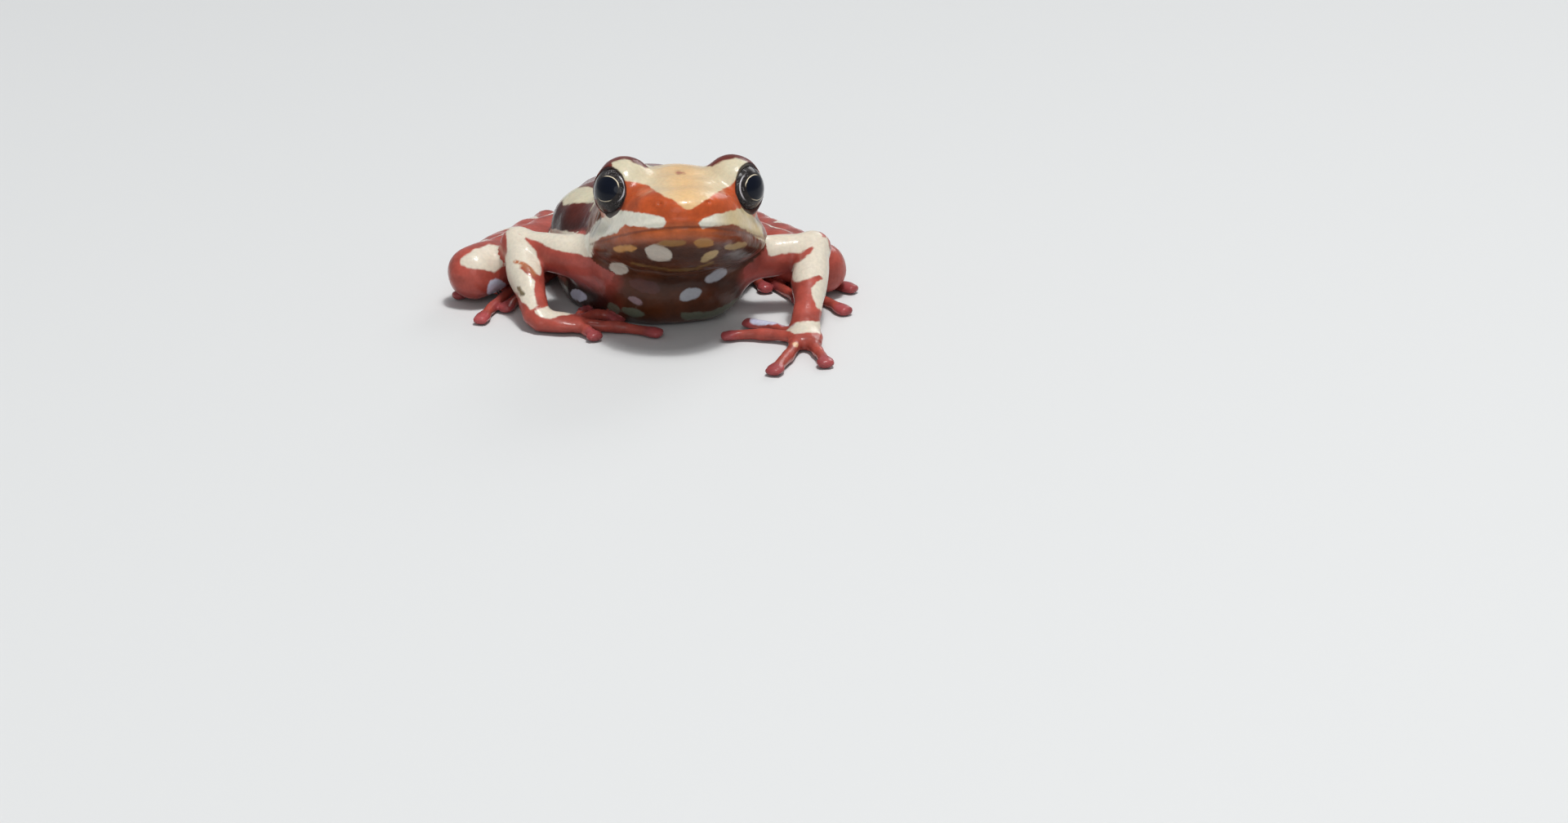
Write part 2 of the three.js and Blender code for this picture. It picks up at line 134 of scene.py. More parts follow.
LIMBS = {
    "right": {
        "upper_arm": [(-3.0, 2.3, 2.6), (-6.85, 5.7, 2.8)],
        "forearm": [(-6.85, 5.7, 2.8), (-6.75, 1.9, 0.72)],
        "palm": [(-6.6, 1.6, 0.5), (-5.0, 1.15, 0.38)],
        "finger": [
            [(-5.0, 1.6, 0.34), (-4.6, 2.5, 0.3), (-4.2, 3.3, 0.24)],
            [(-4.9, 1.5, 0.36), (-3.75, 2.0, 0.42), (-3.05, 1.5, 0.24)],
            [(-4.8, 1.05, 0.36), (-3.2, 0.45, 0.3), (-1.7, -0.55, 0.24)],
            [(-5.0, 0.9, 0.36), (-4.75, 0.25, 0.32), (-4.55, -0.4, 0.24)],
        ],
        "thigh": [(-1.5, 12.9, 1.6), (-8.8, 6.2, 1.5)],
        "shank": [(-8.8, 6.2, 1.5), (-3.8, 14.9, 0.75)],
        "tarsus": [(-3.8, 14.9, 0.75), (-4.2, 10.3, 0.42)],
        "sole": [(-4.3, 9.9, 0.36), (-5.5, 8.5, 0.32)],
        "toe": [
            [(-5.1, 9.0, 0.28), (-5.3, 8.3, 0.26), (-5.7, 7.5, 0.24)],
            [(-5.3, 8.9, 0.28), (-5.7, 7.4, 0.26), (-6.3, 6.0, 0.24)],
            [(-5.5, 8.8, 0.28), (-6.5, 6.6, 0.26), (-7.7, 4.4, 0.24)],
            [(-5.7, 8.8, 0.28), (-7.4, 6.2, 0.26), (-9.1, 3.1, 0.24)],
            [(-5.9, 9.0, 0.28), (-7.7, 8.0, 0.25), (-9.5, 6.8, 0.24)],
        ],
    },
    "left": {
        "upper_arm": [(2.2, 2.3, 2.35), (6.0, 1.95, 2.85)],
        "forearm": [(6.0, 1.95, 2.85), (4.65, -2.3, 0.75)],
        "palm": [(4.6, -2.5, 0.52), (4.25, -3.7, 0.38)],
        "finger": [
            [(4.1, -2.6, 0.36), (3.3, -1.1, 0.32), (2.5, 0.0, 0.24)],
            [(4.05, -2.9, 0.36), (2.6, -2.0, 0.34), (1.1, -1.6, 0.24)],
            [(4.0, -3.5, 0.36), (3.1, -5.2, 0.3), (2.1, -6.8, 0.24)],
            [(4.5, -3.6, 0.36), (4.6, -5.0, 0.3), (4.6, -6.3, 0.24)],
        ],
        "thigh": [(1.5, 12.8, 1.6), (6.75, 3.8, 1.32)],
        "shank": [(6.75, 3.8, 1.32), (4.9, 14.4, 0.85)],
        "tarsus": [(4.9, 14.4, 0.85), (4.0, 10.0, 0.44)],
        "sole": [(4.0, 9.6, 0.36), (4.6, 7.7, 0.32)],
        "toe": [
            [(4.3, 8.1, 0.28), (4.0, 7.1, 0.26), (3.9, 6.2, 0.24)],
            [(4.4, 7.8, 0.28), (4.3, 6.0, 0.26), (4.4, 4.5, 0.24)],
            [(4.6, 7.6, 0.28), (5.0, 5.1, 0.26), (5.6, 2.4, 0.24)],
            [(4.8, 7.6, 0.28), (5.9, 4.3, 0.26), (7.2, 0.6, 0.24)],
            [(5.0, 7.8, 0.28), (6.5, 5.8, 0.25), (8.3, 3.6, 0.24)],
        ],
    },
}

WAYS = {"right": -1, "left": 1}

# How finely the skin is divided
SKIN_CELL = 0.155
SKIN_LOW = np.array([-11.2, -8.0, -0.4])
SKIN_HIGH = np.array([10.4, 17.0, 9.0])
FAR = 3.0
SLOPE_STEP = 0.004
NOT_ZERO = 1e-9


# Small helpers
def smooth_step(low, high, value):
    share = np.clip((value - low) / (high - low), 0, 1)
    return share * share * (3 - 2 * share)


def soft_join(one, other, blend):
    overlap = np.maximum(blend - np.abs(one - other), 0) / blend
    return np.minimum(one, other) - overlap * overlap * blend * 0.25


def soft_cut(one, removed, blend):
    return -soft_join(-one, removed, blend)


def bell(value, width):
    return np.exp(-((value / width) ** 2))


def turned(axis, angle):
    return np.array(Matrix.Rotation(angle, 3, axis))


HEAD_AXES = turned("Z", HEAD_TURN) @ turned("X", -HEAD_PITCH)


def to_head(points):
    """Points in the head's axes: left, back, up from the middle between the eyes."""
    return (points - EYE_MIDDLE) @ HEAD_AXES


# The distances that shape the skin: negative inside, zero on the surface
def mass_distance(points, mass):
    centre, radii, squareness = mass
    x = np.abs(points[:, 0] - centre[0]) / radii[0]
    y = (points[:, 1] - centre[1]) / radii[1]
    z = np.abs(points[:, 2] - centre[2]) / radii[2]
    girth = x**squareness + z**squareness + NOT_ZERO
    reach = np.sqrt(girth ** (2 / squareness) + y * y)
    share = girth ** (2 / squareness - 1)
    across = share * x ** (squareness - 1) / radii[0]
    upward = share * z ** (squareness - 1) / radii[2]
    steep = np.sqrt(across**2 + (y / radii[1]) ** 2 + upward**2) / reach
    return (reach - 1) / steep


def joined_masses(points, masses):
    found = mass_distance(points, masses[0])
    for mass in masses[1:]:
        found = soft_join(found, mass_distance(points, mass), CORE_BLEND)
    return found


class Limb:
    """A round-ended tube whose half width and half height follow a profile along a smooth line."""

    def __init__(self, points, kind):
        points = np.array(points, float)
        lengths = np.linalg.norm(np.diff(points, axis=0), axis=1)
        shares = np.append(0, np.cumsum(lengths)) / lengths.sum()
        curve = np.polynomial.polynomial.polyfit(shares, points, len(points) - 1)
        steps = 1 if len(points) == 2 else 10
        self.shares = np.linspace(0, 1, steps + 1)
        self.line = np.polynomial.polynomial.polyval(self.shares, curve).T
        along = np.gradient(self.line, axis=0)
        self.along = along / np.linalg.norm(along, axis=1, keepdims=True)
        across = np.cross(self.along, (0, 0, 1))
        self.across = across / np.linalg.norm(across, axis=1, keepdims=True)
        self.over = np.cross(self.across, self.along)
        rows = np.array(PROFILES[kind], float)
        self.samples = np.linspace(0, 1, 81)
        row = np.clip(np.searchsorted(rows[:, 0], self.samples, side="right"), 1, len(rows) - 1)
        mix = smooth_step(rows[row - 1, 0], rows[row, 0], self.samples)[:, None]
        self.halves = rows[row - 1, 1:] * (1 - mix) + rows[row, 1:] * mix
        clear = self.halves.max() + 1.3
        self.low = self.line.min(axis=0) - clear
        self.high = self.line.max(axis=0) + clear

    def place_of(self, points):
        """Share of the length, and the offset in half widths across, over and along, for each point."""
        starts = self.line[:-1]
        steps = np.diff(self.line, axis=0)
        offsets = points[:, None, :] - starts[None]
        shares = np.clip((offsets * steps).sum(-1) / (steps * steps).sum(-1), 0, 1)
        gaps = ((offsets - shares[..., None] * steps) ** 2).sum(-1)
        nearest = gaps.argmin(axis=1)
        each = np.arange(len(points))
        at = (nearest + shares[each, nearest]) / len(steps)
        mix = lambda rows: np.stack([np.interp(at, self.shares, rows[:, i]) for i in range(3)], 1)
        half_width = np.interp(at, self.samples, self.halves[:, 0])
        half_height = np.interp(at, self.samples, self.halves[:, 1])
        offset = points - mix(self.line)
        scales = np.stack([half_width, half_height, np.minimum(half_width, half_height)], 1)
        axes = [mix(self.across), mix(self.over), mix(self.along)]
        return at, np.stack([(offset * axis).sum(1) for axis in axes], 1) / scales, scales

    def distance(self, points):
        found = np.full(len(points), FAR)
        near = np.all((points > self.low) & (points < self.high), axis=1)
        if near.any():
            _, offset, scales = self.place_of(points[near])
            reach = np.linalg.norm(offset, axis=1) + NOT_ZERO
            steep = np.linalg.norm(offset / scales, axis=1) + NOT_ZERO
            found[near] = (reach - 1) * reach / steep
        return found


TUBES = {}
for side, limbs in LIMBS.items():
    for kind, points in limbs.items():
        several = points if kind in ("finger", "toe") else [points]
        TUBES[kind, side] = [Limb(line, kind) for line in several]


# The head
def eye_axis(side, sideways):
    """A direction in the head's axes, turned sideways from straight ahead."""
    return np.array([side * math.sin(sideways), -math.cos(sideways), 0])


def lid_distance(points, side):
    mirrored = points * (side, 1, 1)
    lid = mass_distance(mirrored, (LID_PLACE, LID_RADII, 2))
    offset = mirrored - EYE_PLACE
    away = np.linalg.norm(offset, axis=1) + NOT_ZERO
    outer = smooth_step(0.35, 0.8, offset[:, 0] / away)
    rim = away - EYE_RADIUS - RIM_THICKNESS * (1 - outer) - OUTER_RIM_THICKNESS * outer
    return soft_join(lid, rim, LID_BLEND)


def opening_distance(points, side):
    """The distance to the cone round the way the eye looks, and to the middle of the eye."""
    offset = points * (side, 1, 1) - EYE_PLACE
    away = np.linalg.norm(offset, axis=1) + NOT_ZERO
    forward = offset @ eye_axis(1, OPENING_SIDEWAYS)
    angle = np.arccos(np.clip(forward / away, -1, 1))
    return away * np.sin(np.clip(angle - OPENING_HALF_ANGLE, -math.pi / 2, math.pi / 2)), away


def socket_distance(points, side):
    opening, away = opening_distance(points, side)
    return np.maximum(opening, EYE_RADIUS - SOCKET_DEPTH - away)


def lid_margin(points):
    """How far each point of the skin lies from the edge of the nearer eye's opening."""
    margins = []
    for side in (1, -1):
        opening, away = opening_distance(points, side)
        margins.append(np.hypot(np.maximum(opening, 0), np.maximum(away - EYE_RADIUS - RIM_REACH, 0)))
    return np.minimum(*margins)


def mouth_height(left):
    return MOUTH_HEIGHT - MOUTH_CURVE * left**2


def face_relief(points):
    """How far the fine forms of the face stand out from the plain head."""
    left, back, up = points.T
    aside = np.abs(left)
    lips = smooth_step(2.2, 1.3, back)
    from_mouth = up - mouth_height(left)
    relief = lips * (0.03 * bell(from_mouth - 0.24, 0.15) - 0.05 * bell(from_mouth, 0.11))
    nostril = np.hypot((aside - NOSTRIL_ASIDE) / NOSTRIL_STRETCH, up - NOSTRIL_HEIGHT)
    snout = smooth_step(-1.6, -2.1, back)
    relief += snout * (0.035 * bell(nostril - 0.13, 0.07) - 0.12 * bell(nostril, 0.07))
    drum = np.hypot(back - EARDRUM_BACK, up - EARDRUM_HEIGHT)
    drum_relief = 0.02 * bell(drum, 0.25) - 0.045 * bell(drum - EARDRUM_RADIUS, 0.06)
    relief += smooth_step(2.4, 3.0, aside) * drum_relief
    behind_neck = (back - NECK_POINT[1]) * math.cos(NECK_SLOPE)
    behind_neck -= (up - NECK_POINT[2]) * math.sin(NECK_SLOPE)
    throat = smooth_step(-2.2, -2.9, up) * smooth_step(3.5, 2.6, aside)
    relief -= throat * 0.13 * bell(behind_neck, 0.13)
    return relief


WAVES = np.random.default_rng(7)
WAVE_COUNT = 24


def waves_of(length):
    """Directions and phases of smooth random waves of about the given length."""
    ways = WAVES.normal(size=(WAVE_COUNT, 3))
    ways *= 2 * math.pi / length / np.linalg.norm(ways, axis=1, keepdims=True)
    ways *= WAVES.uniform(0.7, 1.4, size=(WAVE_COUNT, 1))
    return ways, WAVES.uniform(0, 2 * math.pi, WAVE_COUNT)


def waved(points, waves):
    ways, phases = waves
    return np.sin(points @ ways.T + phases).sum(axis=1) / math.sqrt(WAVE_COUNT / 2)


SLACK = waves_of(1.5)
SLACK_HEIGHT = 0.016
WRINKLE = waves_of(0.34)
WRINKLE_HEIGHT = 0.014
WRINKLED_REACH = 0.75


def part_distances(points):
    """The distance to each part of the body, before they are run together."""
    in_head = to_head(points)
    relief = face_relief(in_head)
    found = {
        "head": joined_masses(in_head, HEAD_MASSES) - relief,
        "trunk": joined_masses(points, TRUNK_MASSES),
    }
    for side, way in WAYS.items():
        found["lid", side] = lid_distance(in_head, way)
        for kind in PROFILES:
            tubes = TUBES[kind, side]
            each = tubes[0].distance(points)
            for tube in tubes[1:]:
                each = soft_join(each, tube.distance(points), CREASE_BLEND)
            found[kind, side] = each
    return found


def skin_distance(points):
    found = part_distances(points)
    skin = soft_join(found["head"], found["trunk"], CORE_BLEND)
    for side in LIMBS:
        skin = soft_join(skin, found["lid", side], LID_BLEND)
    in_head = to_head(points)
    for way in (1, -1):
        skin = soft_cut(skin, socket_distance(in_head, way), RIM_BLEND)
    for side in LIMBS:
        arm = soft_join(found["upper_arm", side], found["forearm", side], JOINT_BLEND)
        skin = soft_join(skin, arm, SHOULDER_BLEND)
        skin = soft_join(skin, found["thigh", side], HIP_BLEND)
    for side in LIMBS:
        hand = soft_join(found["palm", side], found["finger", side], DIGIT_BLEND)
        reached = soft_join(hand, found["forearm", side], JOINT_BLEND)
        skin = soft_join(skin, np.where(found["forearm", side] < 1.2, reached, hand), CREASE_BLEND)
        leg = soft_join(found["shank", side], found["tarsus", side], JOINT_BLEND)
        foot = soft_join(found["sole", side], found["toe", side], DIGIT_BLEND)
        skin = soft_join(skin, soft_join(leg, foot, JOINT_BLEND), CREASE_BLEND)
    relaxed = skin + SLACK_HEIGHT * waved(points, SLACK)
    corner = bell(np.linalg.norm(in_head - MOUTH_CORNER, axis=1), WRINKLED_REACH)
    relaxed += WRINKLE_HEIGHT * corner * waved(points, WRINKLE)
    return soft_cut(relaxed, points[:, 2], FLOOR_BLEND)


# From distances to a mesh
def slope_of(points, here):
    slope = np.empty_like(points)
    for axis in range(3):
        beside = points.copy()
        beside[:, axis] += SLOPE_STEP
        slope[:, axis] = (skin_distance(beside) - here) / SLOPE_STEP
    return slope


def onto_skin(points, rounds, furthest):
    """Points moved along the slope of the distance until they lie on the skin."""
    moved = points.copy()
    for _ in range(rounds):
        here = skin_distance(moved)
        slope = slope_of(moved, here)
        step = -slope * (here / ((slope**2).sum(1) + NOT_ZERO))[:, None]
        length = np.linalg.norm(step, axis=1, keepdims=True) + NOT_ZERO
        moved += step * np.minimum(1, furthest / length)
    return moved


def net_of(values, low, cell):
    """One corner in each cell that the skin crosses, and one quad across each crossed grid edge."""
    cells = tuple(n - 1 for n in values.shape)
    total = np.zeros(cells + (3,))
    count = np.zeros(cells)
    crossed = []
    for axis in range(3):
        start = np.moveaxis(values, axis, 0)[:-1]
        end = np.moveaxis(values, axis, 0)[1:]
        cross = (start < 0) != (end < 0)
        share = np.where(cross, start / np.where(cross, start - end, 1), 0)
        crossed.append((cross, start < 0))
        for first in (0, 1):
            for second in (0, 1):
                spots = (
                    slice(None),
                    slice(first, cross.shape[1] - 1 + first),
                    slice(second, cross.shape[2] - 1 + second),
                )
                here = np.moveaxis(cross[spots], 0, axis)
                local = [first, second]
                local.insert(axis, None)
                for part in range(3):
                    amount = np.moveaxis(share[spots], 0, axis) if local[part] is None else local[part]
                    total[..., part] += here * amount
                count += here
    active = count > 0
    index = np.full(cells, -1)
    index[active] = np.arange(active.sum())
    corners = low + (np.argwhere(active) + total[active] / count[active][:, None]) * cell
    quads = []
    for axis in range(3):
        cross, inside = crossed[axis]
        spot = np.argwhere(cross)
        kept = (spot[:, 1:] > 0).all(1) & (spot[:, 1:] < np.array(cross.shape[1:]) - 1).all(1)
        spot = spot[kept]
        starts = inside[tuple(spot.T)]
        others = [other for other in range(3) if other != axis]
        grid = np.empty_like(spot)
        grid[:, axis] = spot[:, 0]
        grid[:, others[0]] = spot[:, 1]
        grid[:, others[1]] = spot[:, 2]
        around = []
        for shift_u, shift_v in ((0, 0), (-1, 0), (-1, -1), (0, -1)):
            cell_at = grid.copy()
            cell_at[:, (axis + 1) % 3] += shift_u
            cell_at[:, (axis + 2) % 3] += shift_v
            around.append(index[tuple(cell_at.T)])
        ring = np.stack(around, 1)
        ring[~starts] = ring[~starts][:, ::-1]
        quads.append(ring)
    return corners, np.concatenate(quads)


def relaxed_once(corners, edges):
    """Corners moved halfway to the middle of their neighbours, which evens out the mesh."""
    total = np.zeros_like(corners)
    for here, there in ((0, 1), (1, 0)):
        for axis in range(3):
            total[:, axis] += np.bincount(
                edges[:, here], corners[edges[:, there], axis], minlength=len(corners)
            )
    count = np.bincount(edges.ravel(), minlength=len(corners))[:, None]
    return (corners + total / count) / 2


def edges_of(quads):
    pairs = np.stack([quads, np.roll(quads, -1, axis=1)], axis=-1)
    edges, which = np.unique(np.sort(pairs.reshape(-1, 2), axis=1), axis=0, return_inverse=True)
    return edges, which.reshape(len(quads), 4)


def split_quads(corners, quads, chosen):
    """Each chosen quad becomes four, and its neighbours take in the new corners on shared edges."""
    edges, edge_at = edges_of(quads)
    is_split = np.zeros(len(edges), bool)
    is_split[edge_at[chosen].ravel()] = True
    middle = np.full(len(edges), -1)
    middle[is_split] = len(corners) + np.arange(is_split.sum())
    centre = len(corners) + is_split.sum() + np.arange(chosen.sum())
    places = np.concatenate([
        corners, corners[edges[is_split]].mean(axis=1), corners[quads[chosen]].mean(axis=1),
    ])
    small = []
    for turn in range(4):
        here = quads[chosen][:, turn]
        after = middle[edge_at[chosen][:, turn]]
        before = middle[edge_at[chosen][:, turn - 1]]
        small.append(np.stack([here, after, centre, before], 1))
    touched = is_split[edge_at].any(axis=1)
    faces = np.concatenate(small + [quads[~touched]]).tolist()
    for quad, sides in zip(quads[touched & ~chosen], edge_at[touched & ~chosen]):
        ring = []
        for corner, edge in zip(quad, sides):
            ring.append(int(corner))
            if is_split[edge]:
                ring.append(int(middle[edge]))
        faces.append(ring)
    return places, faces


def all_edges(faces):
    pairs = []
    for size in sorted({len(face) for face in faces}):
        same = np.array([face for face in faces if len(face) == size])
        pairs.append(np.stack([same, np.roll(same, -1, axis=1)], axis=-1).reshape(-1, 2))
    return np.unique(np.sort(np.concatenate(pairs), axis=1), axis=0)


def needs_detail(points, found):
    """Where the mesh is made finer: the face, the hands and feet."""
    in_head = to_head(points)
    face = (in_head[:, 1] < 2.6) & (np.minimum(found["head"], found["lid", "left"]) < 0.4)
    face |= (found["lid", "right"] < 0.4)
    digits = np.minimum.reduce([found[kind, side] for kind in ("finger", "toe", "palm") for side in LIMBS])
    return face | (digits < 0.12)


def skin_mesh():
    counts = np.ceil((SKIN_HIGH - SKIN_LOW) / SKIN_CELL).astype(int) + 1
    axes = [SKIN_LOW[i] + SKIN_CELL * np.arange(counts[i]) for i in range(3)]
    grid = np.stack(np.meshgrid(*axes, indexing="ij"), axis=-1).reshape(-1, 3)
    values = np.concatenate([skin_distance(chunk) for chunk in np.array_split(grid, 12)])
    corners, quads = net_of(values.reshape(counts), SKIN_LOW, SKIN_CELL)
    corners = onto_skin(corners, 2, SKIN_CELL / 2)
    edges, _ = edges_of(quads)
    corners = onto_skin(relaxed_once(corners, edges), 2, SKIN_CELL / 2)
    middles = corners[quads].mean(axis=1)
    chosen = needs_detail(middles, part_distances(middles))
    corners, faces = split_quads(corners, quads, chosen)
    corners = onto_skin(corners, 1, SKIN_CELL / 3)
    corners = onto_skin(relaxed_once(corners, all_edges(faces)), 2, SKIN_CELL / 3)
    return corners, faces


# The photo's view, and what it shows at a place
UP = np.array([0, 0, 1.0])
VIEW_RIGHT = np.array([math.cos(CAMERA_AZIMUTH), math.sin(CAMERA_AZIMUTH), 0])
VIEW_LEVEL = np.array([-math.sin(CAMERA_AZIMUTH), math.cos(CAMERA_AZIMUTH), 0])
VIEW_AHEAD = VIEW_LEVEL * math.cos(CAMERA_ELEVATION) - UP * math.sin(CAMERA_ELEVATION)
VIEW_UP = VIEW_LEVEL * math.sin(CAMERA_ELEVATION) + UP * math.cos(CAMERA_ELEVATION)
CAMERA_PLACE = EYE_MIDDLE - VIEW_AHEAD * CAMERA_DISTANCE


def pixels_of(points):
    """The pixel of the photo at which each point is seen."""
    offset = points - CAMERA_PLACE
    scale = CAMERA_DISTANCE / (offset @ VIEW_AHEAD) / PIXEL
    across = EYE_MIDDLE_PIXEL[0] + offset @ VIEW_RIGHT * scale
    down = EYE_MIDDLE_PIXEL[1] - offset @ VIEW_UP * scale
    return np.stack([across, down], 1)


# Shapes of marks. Each gives how far a pixel lies inside it, in pixels.
def from_line(offset, step):
    share = np.clip(offset @ step / (step @ step), 0, 1)[:, None]
    return np.linalg.norm(offset - share * step, axis=1)


def outline(*corners):
    corners = np.array(corners, float)

    def depth(pixels):
        nearest = np.full(len(pixels), np.inf)
        inside = np.zeros(len(pixels), bool)
        for start, end in zip(corners, np.roll(corners, -1, axis=0)):
            step = end - start
            offset = pixels - start
            nearest = np.minimum(nearest, from_line(offset, step))
            if step[1]:
                level = (pixels[:, 1] < start[1]) != (pixels[:, 1] < end[1])
                inside ^= level & (offset[:, 0] < offset[:, 1] * step[0] / step[1])
        return np.where(inside, nearest, -nearest)

    return depth


def oval(centre, radii, tilt=0):
    cos, sin = math.cos(math.radians(tilt)), math.sin(math.radians(tilt))

    def depth(pixels):
        x, y = (pixels - centre).T
        along = (x * cos - y * sin) / radii[0]
        aside = (x * sin + y * cos) / radii[1]
        reach = np.hypot(along, aside) + NOT_ZERO
        steep = np.hypot(along / radii[0], aside / radii[1]) + NOT_ZERO
        return (1 - reach) * reach / steep

    return depth


def band(half_width, *corners):
    corners = np.array(corners, float)

    def depth(pixels):
        nearest = np.full(len(pixels), np.inf)
        for start, end in zip(corners[:-1], corners[1:]):
            nearest = np.minimum(nearest, from_line(pixels - start, end - start))
        return half_width - nearest

    return depth


def colour(red, green, blue):
    """A screen colour, 0 to 255, as the light it stands for."""
    shares = np.array([red, green, blue]) / 255
    return np.where(shares <= 0.04045, shares / 12.92, ((shares + 0.055) / 1.055) ** 2.4)


# Colours of the skin
DORSUM = colour(102, 38, 28)
WINE = colour(101, 32, 28)
SNOUT_RED = colour(185, 82, 40)
CHEEK_BROWN = colour(112, 62, 32)
LIP_BROWN = colour(181, 90, 44)
JAW_BROWN = colour(108, 46, 14)
THROAT_BROWN = colour(78, 40, 21)
# Painted shade: the brown of the shadows under the jaw, the head and the arms
SHADOW_BROWN = colour(38, 22, 17)
BREAST_RED = colour(96, 40, 36)
LIMB_RED = colour(166, 76, 64)
LIMB_PINK = colour(168, 86, 80)
LID_DARK = colour(34, 22, 24)
# Painted shade: the dark line of the mouth's slit
MOUTH_SLIT_SHADE = colour(104, 48, 28)
# Painted highlight: the lit edge of the throat's fold
FOLD_HIGHLIGHT = colour(132, 104, 58)
LID_PINK = colour(196, 158, 144)
TIP_PURPLE = colour(160, 74, 78)
CREAM = colour(204, 195, 168)
WARM_CREAM = colour(218, 180, 130)
LIP_CREAM = colour(226, 222, 206)
DULL_CREAM = colour(196, 172, 122)
LIMB_CREAM = colour(214, 204, 186)
BLUE_WHITE = colour(206, 212, 232)
GREY_WHITE = colour(184, 174, 162)
BLUE_GREY = colour(158, 160, 166)
TAN = colour(170, 146, 104)
OCHRE = colour(184, 132, 70)
OLIVE = colour(140, 100, 50)
PURPLE_GREY = colour(112, 76, 84)
GREEN_GREY = colour(100, 108, 92)
MOLE_OLIVE = colour(112, 98, 74)
DOT_ORANGE = colour(176, 104, 66)
HEAD_DOT_PINK = colour(150, 84, 66)

